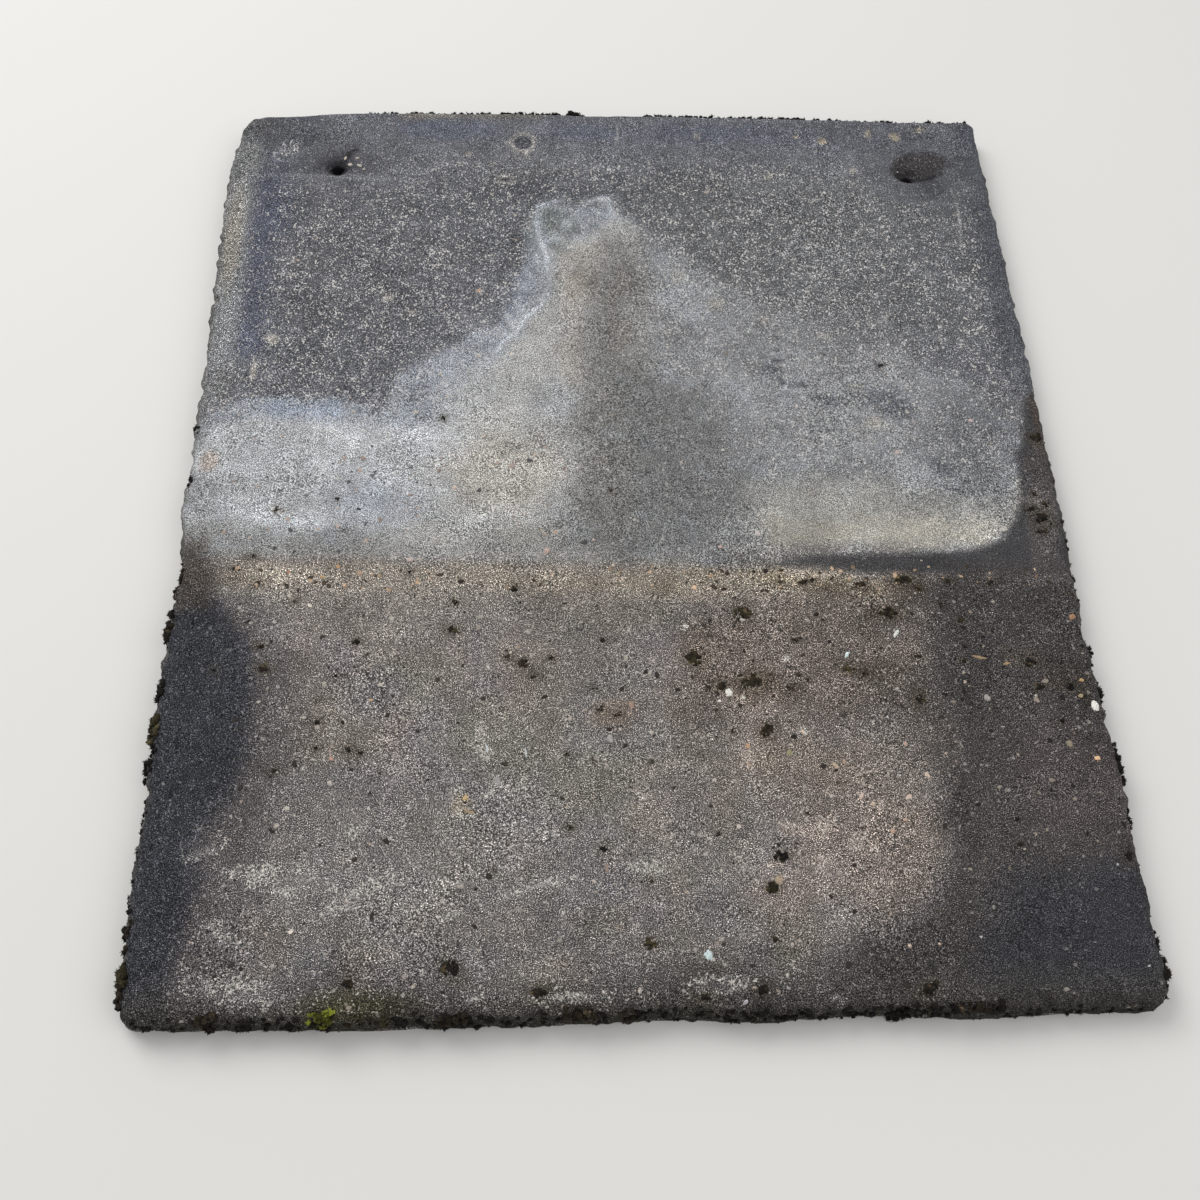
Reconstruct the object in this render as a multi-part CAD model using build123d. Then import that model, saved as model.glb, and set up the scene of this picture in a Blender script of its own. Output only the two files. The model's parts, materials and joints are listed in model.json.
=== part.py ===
from build123d import *
from math import copysign
import os

# Reconstituted stone roof tile, cast in one piece: a double-lap slate with dressed, uneven
# edges and two nail holes near its head. Millimetres. The origin is under the middle of the
# tile, +X runs to the right across it, +Y up the slope from tail to head, +Z out of its face.

# Driving sizes of the slab
tile_length = 490.0
tile_width = 410.0
tile_thickness = 18.0

# Dressed edges: the height of the upright part of the side, and how far the worn, rounded
# arris above it reaches in over the face along each side
side_height = 7.0
left_arris = 16.0
right_arris = 8.0
tail_arris = 8.0
head_arris = 5.0

# Section of the arris, from the top of the upright side to the face: each step is a share of
# its reach and a share of its rise
arris_shares = ((0.06, 0.36), (0.22, 0.66), (0.52, 0.88), (1.0, 1.0))

# Corners of the outline, worn to these radii
tail_left_radius = 6.0
tail_right_radius = 5.5
head_left_radius = 8.0
head_right_radius = 2.5

# How far each corner falls short of the full size, across the tile and along it
tail_left_wear = (1.7, 1.4)
tail_right_wear = (0.2, 1.8)
head_left_wear = (4.7, 6.1)
head_right_wear = (2.8, 2.4)

# How far each edge falls short of the full size, at even steps along it: the left and right
# edges are listed from tail to head, the tail and head edges from left to right
left_edge = (0.7, 0.4, 1.4, 0.0, 0.9, 0.8, 3.0, 0.2, 1.9, 1.7, 2.2, 2.1, 2.0, 1.7, 1.8, 2.4)
right_edge = (0.4, 0.7, 0.0, 1.3, 2.0, 2.3, 1.8, 1.1, 1.1, 0.9, 1.0, 1.2, 1.7, 1.6, 2.1, 2.6)
tail_edge = (1.2, 0.6, 0.0, 0.6, 0.4, 1.2, 1.7, 0.3, 2.0, 1.1, 0.4, 1.5)
head_edge = (3.0, 1.0, 0.6, 0.3, 0.1, 0.9, 0.2, 0.8, 0.6, 1.0, 1.8, 2.8)

# The rim of the face is more even than the base: it keeps this share of the unevenness
rim_unevenness_share = 0.7

# Nail holes, through the slab near its head, set out by hand
nail_hole_diameter = 7.0
left_nail_from_left = 60.0
left_nail_from_head = 45.5
right_nail_from_right = 47.0
right_nail_from_head = 47.5

# The left hole's mouth is worn to a funnel with a rounded wall
funnel_flare = 3.0

# The right hole's mouth has spalled to a shallow bowl, longer than it is wide, beside the hole
spall_length = 31.0
spall_width = 21.0
spall_depth = 4.5
spall_turn = 22.0
spall_from_hole_x = 6.3
spall_from_hole_y = 7.3

# A round blind dimple in the face, between the nail holes
dimple_diameter = 9.0
dimple_depth = 1.2
dimple_from_left = 157.5
dimple_from_head = 25.3

# Extra height of the cutting shapes above and below the slab
cut_margin = 5.0


def uneven_edge(corner, start, end, along, inward, shortfall):
    """A side of the outline: a smooth line from start to end whose points, at even steps,
    fall short of the straight full-size side that begins at the corner."""
    first = (start - corner).dot(along)
    step = ((end - corner).dot(along) - first) / (len(shortfall) + 1)
    points = [
        corner + along * (first + step * k) + inward * fall
        for k, fall in enumerate(shortfall, 1)
    ]
    return Spline([start, *points, end], tangents=[along, along])


def outline(z, reach):
    """The outline at height z, with every side moved in by the share reach of its arris."""
    left = -tile_width / 2 + left_arris * reach
    right = tile_width / 2 - right_arris * reach
    tail = -tile_length / 2 + tail_arris * reach
    head = tile_length / 2 - head_arris * reach
    unevenness = 1 - (1 - rim_unevenness_share) * reach
    # Anticlockwise: full-size corner, its wear and radius, and the shortfalls of the next side
    corners = (
        (Vector(left, tail, z), tail_left_wear, tail_left_radius, tail_edge),
        (Vector(right, tail, z), tail_right_wear, tail_right_radius, right_edge),
        (Vector(right, head, z), head_right_wear, head_right_radius, head_edge[::-1]),
        (Vector(left, head, z), head_left_wear, head_left_radius, left_edge[::-1]),
    )
    worn = [
        corner - Vector(copysign(across, corner.X), copysign(lengthwise, corner.Y)) * unevenness
        for corner, (across, lengthwise), radius, shortfall in corners
    ]
    edges = []
    for k, (corner, wear, radius, shortfall) in enumerate(corners):
        following = (k + 1) % len(corners)
        next_corner, next_radius = corners[following][0], corners[following][2]
        along = (next_corner - corner).normalized()
        inward = Vector(0, 0, 1).cross(along)
        start = worn[k] + along * radius
        end = worn[following] - along * next_radius
        falls = [fall * unevenness for fall in shortfall]
        edges.append(uneven_edge(corner, start, end, along, inward, falls))
        edges.append(JernArc(end, along, next_radius, 90))
    return Wire(edges)


def slab():
    """The cast slab: an upright side, and above it the rounded arris up to the flat face."""
    sections = [outline(0, 0), outline(side_height, 0)]
    for reach, rise in arris_shares:
        z = side_height + (tile_thickness - side_height) * rise
        sections.append(outline(z, reach))
    return Solid.make_loft(sections, ruled=True)


def nail_hole(x, y):
    """A plain round hole through the slab."""
    depth = tile_thickness + 2 * cut_margin
    return Pos(x, y, tile_thickness / 2) * Cylinder(nail_hole_diameter / 2, depth)


def funnel(x, y):
    """The worn mouth of a nail hole: its wall curves outward as it meets the face."""
    wall = nail_hole_diameter / 2
    throat = (wall, -funnel_flare)
    mouth = (wall + funnel_flare, 0)
    with BuildPart() as cut:
        with BuildSketch(Plane.XZ):
            with BuildLine():
                TangentArc(throat, mouth, tangent=(0, 1))
                Polyline(mouth, (mouth[0], cut_margin), (0, cut_margin), (0, throat[1]), throat)
            make_face()
        revolve(axis=Axis.Z)
    return Pos(x, y, tile_thickness) * cut.part


def shallow_bowl(length, width, depth, turn):
    """A bowl whose mouth at z = 0 is an oval of that length and width, turned about +Z."""
    half = length / 2
    radius = (half**2 + depth**2) / (2 * depth)
    ball = Pos(0, 0, radius - depth) * Sphere(radius)
    return Rot(0, 0, turn) * scale(ball, by=(1, width / length, 1))


def tile():
    """The slab with its nail holes, the spall beside the right one and the blind dimple."""
    left_x = -tile_width / 2 + left_nail_from_left
    left_y = tile_length / 2 - left_nail_from_head
    right_x = tile_width / 2 - right_nail_from_right
    right_y = tile_length / 2 - right_nail_from_head
    spall_place = Pos(right_x + spall_from_hole_x, right_y + spall_from_hole_y, tile_thickness)
    dimple_place = Pos(
        -tile_width / 2 + dimple_from_left, tile_length / 2 - dimple_from_head, tile_thickness
    )
    body = slab()
    body -= nail_hole(left_x, left_y)
    body -= funnel(left_x, left_y)
    body -= nail_hole(right_x, right_y)
    body -= spall_place * shallow_bowl(spall_length, spall_width, spall_depth, spall_turn)
    body -= dimple_place * shallow_bowl(dimple_diameter, dimple_diameter, dimple_depth, 0)
    return body


roof_tile = tile()
print("solids", len(roof_tile.solids()), "volume", round(roof_tile.volume))
os.makedirs("parts", exist_ok=True)
export_step(roof_tile, "parts/roof_tile.step")
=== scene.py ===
import json
import math

import bmesh
import bpy
import numpy as np
from mathutils import Matrix, Vector
from mathutils.bvhtree import BVHTree
from mathutils.geometry import delaunay_2d_cdt


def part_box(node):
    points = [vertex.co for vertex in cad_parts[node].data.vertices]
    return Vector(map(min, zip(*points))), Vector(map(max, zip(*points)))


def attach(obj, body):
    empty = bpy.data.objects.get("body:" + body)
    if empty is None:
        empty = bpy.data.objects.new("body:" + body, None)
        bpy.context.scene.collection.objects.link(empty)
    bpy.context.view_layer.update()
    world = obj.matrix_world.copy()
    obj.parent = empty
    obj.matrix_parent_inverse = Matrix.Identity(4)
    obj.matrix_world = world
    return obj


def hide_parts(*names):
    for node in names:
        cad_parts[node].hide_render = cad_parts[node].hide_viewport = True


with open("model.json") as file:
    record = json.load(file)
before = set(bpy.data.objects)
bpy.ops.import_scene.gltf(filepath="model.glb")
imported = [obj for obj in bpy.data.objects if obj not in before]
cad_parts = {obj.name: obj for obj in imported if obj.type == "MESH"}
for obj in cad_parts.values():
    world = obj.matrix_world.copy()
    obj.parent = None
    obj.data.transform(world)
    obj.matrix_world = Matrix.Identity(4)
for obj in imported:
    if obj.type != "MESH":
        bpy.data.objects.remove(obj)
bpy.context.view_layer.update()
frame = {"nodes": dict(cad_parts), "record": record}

# A weathered, cast roof tile, lying on its back. Sizes and places are in millimetres in the
# shared frame, origin under the middle of the tile, +X across, +Y from tail to head, +Z up.
MM = 0.001
NODE = "roof_tile"
SLAB = frame["nodes"][NODE]
LOW, HIGH = (np.array(corner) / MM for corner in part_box(NODE))
TOP = HIGH[2]

# The border: upright side, then a rounded arris up to the flat face
SIDE_HEIGHT = 7.0
SIDE_ROWS = 7
ARRIS_ROWS = 13
BORDER_STEP = 1.0

# The outline's points lie outside these shares of the slab's half width and half length
BORDER_SHARES = (0.90, 0.945)

# Sharp lines of lime that a tide of damp left on the face
TIDE_LINES = (
    [(-39, 150), (-36, 138), (-36, 124), (-34.5, 116), (-37, 110), (-43, 102), (-48, 97), (-50, 92),
     (-52, 88), (-58, 83.5), (-61, 77), (-66, 69)],
    [(-63, 54), (-67, 46), (-74, 40), (-78, 36), (-81, 31)],
    [(-92, 28), (-101, 28), (-109, 25), (-118, 21)],
)

# Broader, broken bands of lime above them
TIDE_BANDS = (
    [(-28, 177), (-33, 176), (-40, 174), (-41, 167), (-40, 156), (-38, 149)],
    [(-17, 175), (-9, 179), (-3, 180), (-2, 172), (-4, 166), (-10, 171)],
)

# Fine pale scratches near the head and beside the left arris
SCRATCHES = (
    [(180, 190), (181.6, 176), (181, 160), (178.5, 147)], [(3, 222), (3.4, 233)],
    [(-175.6, 69), (-179, 61)], [(-172, 89), (-169, 84), (-171, 78)],
)

# Spacing of the face's points: over the field, in worked spots, and over the underside
FIELD_STEP = 2.25
FINE_STEP = 0.85
UNDERSIDE_STEP = 9.0

# They stand in offset rows, so far apart for each step, and each up to so far off its place
ROW_SHARE = 0.87
OFF_PLACE = 0.18

# How far they stay off the rim, off the underside's border and off a nail hole, and how far the
# finer ones reach round a hollow and round a line
RIM_MARGIN = 0.9
UNDERSIDE_MARGIN = 2.0
HOLE_MARGIN = 0.7
HOLLOW_REACH = 2.5
LINE_REACH = 4

# Points closer than this are one, and nothing bedded or strewn lies lower than this
SAME_PLACE = 0.01
LOWEST = 0.05

# How far in from the outline the sides are worn, and a full turn or a little more, in radians
WORN_REACH = 22
ANY_TURN = 6.3

# Nail holes: centre and radius, from the record's bores
NAIL_HOLES = {
    mount["name"]: (mount["pos_m"][0] / MM, mount["pos_m"][1] / MM, mount["dims"]["r_mm"])
    for mount in frame["record"]["mounts"]
    if mount["kind"] == "bore"
}
HOLE_POINTS = 44
HOLE_ROWS = 9

# Hollows in the face: centre, length, width, turn in degrees, depth, and how steep their rim is
HOLLOWS = (
    (-145.0, 199.5, 13.0, 12.0, 0, 2.6, 0.6),
    (-146.5, 204.5, 20.0, 15.0, 110, 0.9, 1.4),
    (165.0, 206.5, 35.0, 20.0, 24, 2.9, 0.7),
    (158.5, 199.0, 15.0, 11.0, 20, 2.0, 0.7),
    (-47.5, 219.5, 9.4, 8.8, 0, 1.3, 0.8),
    (-41.0, 214.0, 3.6, 3.0, 0, 0.7, 1.0),
    (-57.0, 192.5, 6.4, 5.6, 0, 0.6, 1.0),
    (-129.0, 217.0, 6.0, 3.0, 50, 0.5, 1.0),
    (-193.0, 12.0, 12.0, 9.0, 70, 0.6, 0.6),
)

# Screen colours, 0 to 255, of the weathered face
SLATE = (99, 100, 105)
# The head's grey is bluer in part as a painted sky reflection
HEAD_GREY = (101, 102, 108)
BLUE_SHADE = (84, 90, 106)
WORN_ARRIS = (123, 124, 126)
TAN = (140, 131, 118)
LIME_WHITE = (178, 180, 182)
HAZE = (164, 165, 166)
HAZE_BLUE = (146, 153, 166)
HAZE_WARM = (166, 161, 152)
TIDE = (158, 164, 174)
DIM_HAZE = (134, 135, 137)
DUN = (118, 113, 111)
SAND = (139, 131, 118)
SOIL = (70, 64, 60)
DAMP_BLACK = (52, 53, 58)

# Screen colours of the sides, of their tail and head ends, and of the clean cement below
SIDE_GREY = (92, 89, 84)
TAIL_GREY = (50, 49, 44)
HEAD_SIDE = (98, 95, 90)
CEMENT = (134, 131, 125)

# The pale floor: its colour and half its length
PAPER = (226, 225, 222)
FLOOR_HALF = 3000

# Screen colours of moss
BLACK = (30, 28, 27)
BROWN = (50, 43, 34)
OLIVE = (60, 55, 39)
FRESH = (112, 117, 44)
WITHERED = (76, 66, 47)

# Cushions of moss on the face: place, size along and across, turn in degrees, colour
MOSS_SPOTS = (
    (-160, -15.5, 2.6, 1.6, 0, BROWN), (-133, -10, 1.4, 1.6, 0, BLACK), (-86, 36, 1.6, 1.6, 0, BLACK),
    (-168, -40, 2, 1.2, 0, BLACK), (-165, -54, 2.6, 2, 0, BROWN), (-176, -47, 1.8, 1.4, 0, BROWN),
    (-99, -48, 2.4, 1.2, 70, BLACK), (-52.5, -57, 3.4, 2.4, 20, BROWN),
    (-79.5, -78, 3.8, 2.8, 0, BROWN), (-78.5, -64, 2.4, 2, 0, BROWN),
    (-120.5, -83.5, 2.6, 2.4, 0, BLACK), (-161, -85.5, 2.8, 2.4, 0, BROWN),
    (-127, -65, 3.2, 1.6, 30, BROWN), (-148, -63, 2, 1.4, 60, BROWN), (-159, -96, 4.2, 3, 0, BROWN),
    (-180, -96.5, 2.6, 2.2, 0, BLACK), (-150.5, -143.5, 3, 2.4, 0, BROWN),
    (-135, -121.5, 2, 2.4, 90, BLACK), (-121, -134, 2.2, 2, 0, BLACK),
    (-116, -135.5, 1.4, 1.4, 0, BLACK), (-134.5, -133, 1.4, 1, 0, BLACK), (-128, -100, 3, 1, 0, BLACK),
    (-49, -94.5, 5.4, 3.2, -35, BROWN), (-44.5, -101, 2.4, 2, 0, BROWN), (-56, -91, 2.2, 1.6, 0, BROWN),
    (-37, -92, 1.8, 1.4, 0, BROWN), (-16.5, -116, 2.6, 2.2, 0, BROWN), (-9, -119, 2.6, 1.4, 20, BROWN),
    (-18.5, -106.5, 2, 1.4, 0, BROWN), (-31, -137, 1.4, 1.2, 0, BLACK),
    (-17, -178.5, 2.8, 2.2, 0, BLACK), (-30.5, -169.5, 1.8, 1.4, 0, BLACK),
    (-7, -191.5, 1.8, 1.8, 0, BLACK), (2, -192, 1.4, 1.6, 0, BLACK), (-77, -226.5, 6.8, 5, -40, BLACK),
    (-44, -236, 5.6, 4.2, 0, BLACK), (-116, -231.5, 3.2, 3, 0, BLACK), (-173, -237, 1.8, 1.4, 0, BLACK),
    (0.5, -217.5, 3, 3.8, 90, OLIVE), (-14, -83, 3.2, 2.6, 0, BROWN), (-129, -26, 1.6, 1, 0, BLACK),
    (-8, -5, 1.4, 1.2, 0, BLACK), (48, -70, 7, 6, 90, OLIVE), (31, -76, 1.8, 1.4, 0, BROWN),
    (76, -54.5, 4.2, 2, 10, BROWN), (80, -53, 2, 2, 0, BROWN), (102, -55, 6.4, 2.6, -5, BROWN),
    (122, -53, 6.6, 3.2, 0, BROWN), (128, -57.5, 5.4, 2.2, -60, BROWN), (142, -54, 3, 2, 0, BROWN),
    (161, -55, 3, 2, 30, BROWN), (113, -70.5, 8, 4, 10, BROWN), (137, -66, 2.4, 1.8, 0, BROWN),
    (145, -74, 4.6, 2, 30, BROWN), (24.5, -92, 7.6, 5.6, 10, OLIVE), (36.5, -105.5, 4, 3.4, 60, BROWN),
    (50, -103.5, 9, 5.4, 20, OLIVE), (66, -107, 3, 1.8, 0, BROWN), (54, -126.5, 5.4, 3.8, 40, BROWN),
    (39.5, -127, 3, 1.6, 0, BROWN), (92.5, -98, 5.4, 2.4, 0, OLIVE), (99, -100, 3.6, 2, 0, BROWN),
    (70, -84, 2, 1.6, 0, BROWN), (123, -92, 3.6, 2, 0, BROWN), (121.5, -112, 4, 3, 80, BROWN),
    (143, -94, 2.6, 2, 0, BROWN), (172, -95, 4.4, 3, 0, BLACK), (174, -107, 5.6, 2.2, 10, BLACK),
    (188, -107, 5, 2.6, -20, BLACK), (193, -112, 2.6, 2, 0, BLACK), (181, -124, 2.4, 1.6, 0, BLACK),
    (55, -182.5, 4.8, 3.4, 10, BLACK), (50.5, -195.5, 4.6, 3.4, 20, OLIVE),
    (42.5, -236, 3.6, 4.2, 90, BLACK), (108, -237, 5.6, 3.8, 30, BLACK), (49, -216.5, 1.6, 2, 0, BROWN),
    (40, -205, 1.2, 1, 0, BLACK), (153, -179, 2.6, 1.4, 40, BLACK), (154, -168, 1.8, 1.4, 0, BLACK),
    (127, 69, 3, 1.8, 0, BLACK), (191, -20, 6, 4, 40, BLACK), (190, -27.5, 4, 3, 0, BLACK),
    (187, -15, 3.2, 2.4, 0, BLACK), (195, -13, 3, 2.6, 0, BLACK), (196, -24, 3.4, 2.6, 0, BLACK),
    (197, 26, 3.4, 6, 90, BROWN), (190, -7, 2.4, 2, 0, BROWN), (198, -60, 3, 2.4, 0, BLACK),
    (198, -184, 4, 3, 60, BLACK), (60, -74, 1.6, 1.2, 0, BROWN), (20, -239, 4, 2.4, 0, BLACK),
)

# Growth along the sides: from, to, lowest and highest z, lumps per millimetre, size, colour
MOSS_RUNS = (
    ((-203, -40), (-202, -58), 8, 17, 0.9, 2.2, BROWN),
    ((-205, -60), (-205, -84), 5, 16, 1.1, 2.4, BLACK),
    ((-205, -71), (-205, -78), 8, 16, 3, 3.2, BROWN),
    ((-204, -97), (-204, -108), 5, 17, 1.6, 2.6, BLACK),
    ((-204, -116), (-204, -128), 9, 18, 2.4, 3, OLIVE),
    ((-205, -130), (-205, -142), 4, 17, 1.8, 2.8, BLACK),
    ((-204, -150), (-204, -210), 5, 15, 0.5, 2, BLACK),
    ((-204, -204), (-204, -220), 4, 16, 1.2, 2.6, BROWN),
    ((-204, -221), (-204, -229), 6, 17, 2.8, 3.4, OLIVE),
    ((-204, -231), (-204, -238), 6, 16, 2.6, 3, BROWN), ((-203, 36), (-203, 30), 12, 17, 1, 1.8, BLACK),
    ((-203, 5), (-203, 1), 8, 16, 1.6, 2.2, BLACK),
    ((-200, -245), (-176, -246), 4, 15, 0.7, 2.4, BLACK),
    ((-173, -244), (-165, -244), 6, 18, 3, 2.8, BROWN),
    ((-170, -245), (-168, -245), 1, 12, 4, 2.6, BLACK),
    ((-164, -246), (-132, -246), 4, 16, 1.1, 2.6, BLACK),
    ((-130, -243), (-123, -243), 9, 18, 4.6, 2.8, FRESH),
    ((-132, -245), (-122, -245), 6, 15, 2, 2.8, BLACK),
    ((-122, -245), (-98, -245), 6, 17, 0.9, 2.2, OLIVE),
    ((-98, -246), (-62, -246), 3, 15, 1.2, 2.6, BLACK),
    ((-82, -245), (-72, -245), 3, 16, 2.4, 3, BROWN),
    ((-62, -246), (-34, -246), 4, 15, 0.8, 2.2, BLACK),
    ((-34, -245), (-22, -245), 6, 17, 2.2, 2.8, BROWN),
    ((-12, -245), (-4, -245), 4, 15, 1.8, 2.6, BROWN),
    ((-22, -246), (24, -246), 4, 14, 0.7, 2.2, BLACK), ((24, -246), (84, -246), 4, 15, 1, 2.4, BLACK),
    ((84, -246), (140, -246), 5, 16, 1.1, 2.4, BLACK), ((95, -246), (101, -246), 1, 9, 4.4, 3, BLACK),
    ((118, -245), (138, -245), 9, 17, 0.9, 2.6, BROWN),
    ((140, -246), (196, -246), 4, 12, 0.5, 2.2, BLACK),
    ((203, -240), (203, -214), 5, 15, 0.6, 2.2, BLACK),
    ((205, -232), (205, -225), 4, 12, 3.2, 3.2, BROWN),
    ((204, -170), (204, -160), 5, 16, 1.2, 2.4, BLACK), ((204, -150), (204, -134), 5, 16, 2, 3, BLACK),
    ((203, -112), (203, -100), 6, 16, 1.4, 2.6, BLACK), ((203, -100), (203, -60), 6, 16, 0.4, 2, BLACK),
    ((203, -60), (202, 40), 6, 16, 0.3, 2, BROWN), ((-22, 244), (-15, 244), 13, 18, 4.5, 3, BLACK),
    ((-75, 244), (-24, 244), 12, 17, 1.9, 2.2, BLACK),
    ((-130, 243.4), (-75, 244), 12, 17, 1.4, 2.1, BLACK),
    ((18, 244), (104, 243.4), 12, 17, 2.2, 2.1, BLACK),
    ((104, 243.4), (198, 242), 10, 17, 2.1, 2.1, BLACK),
)

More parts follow.
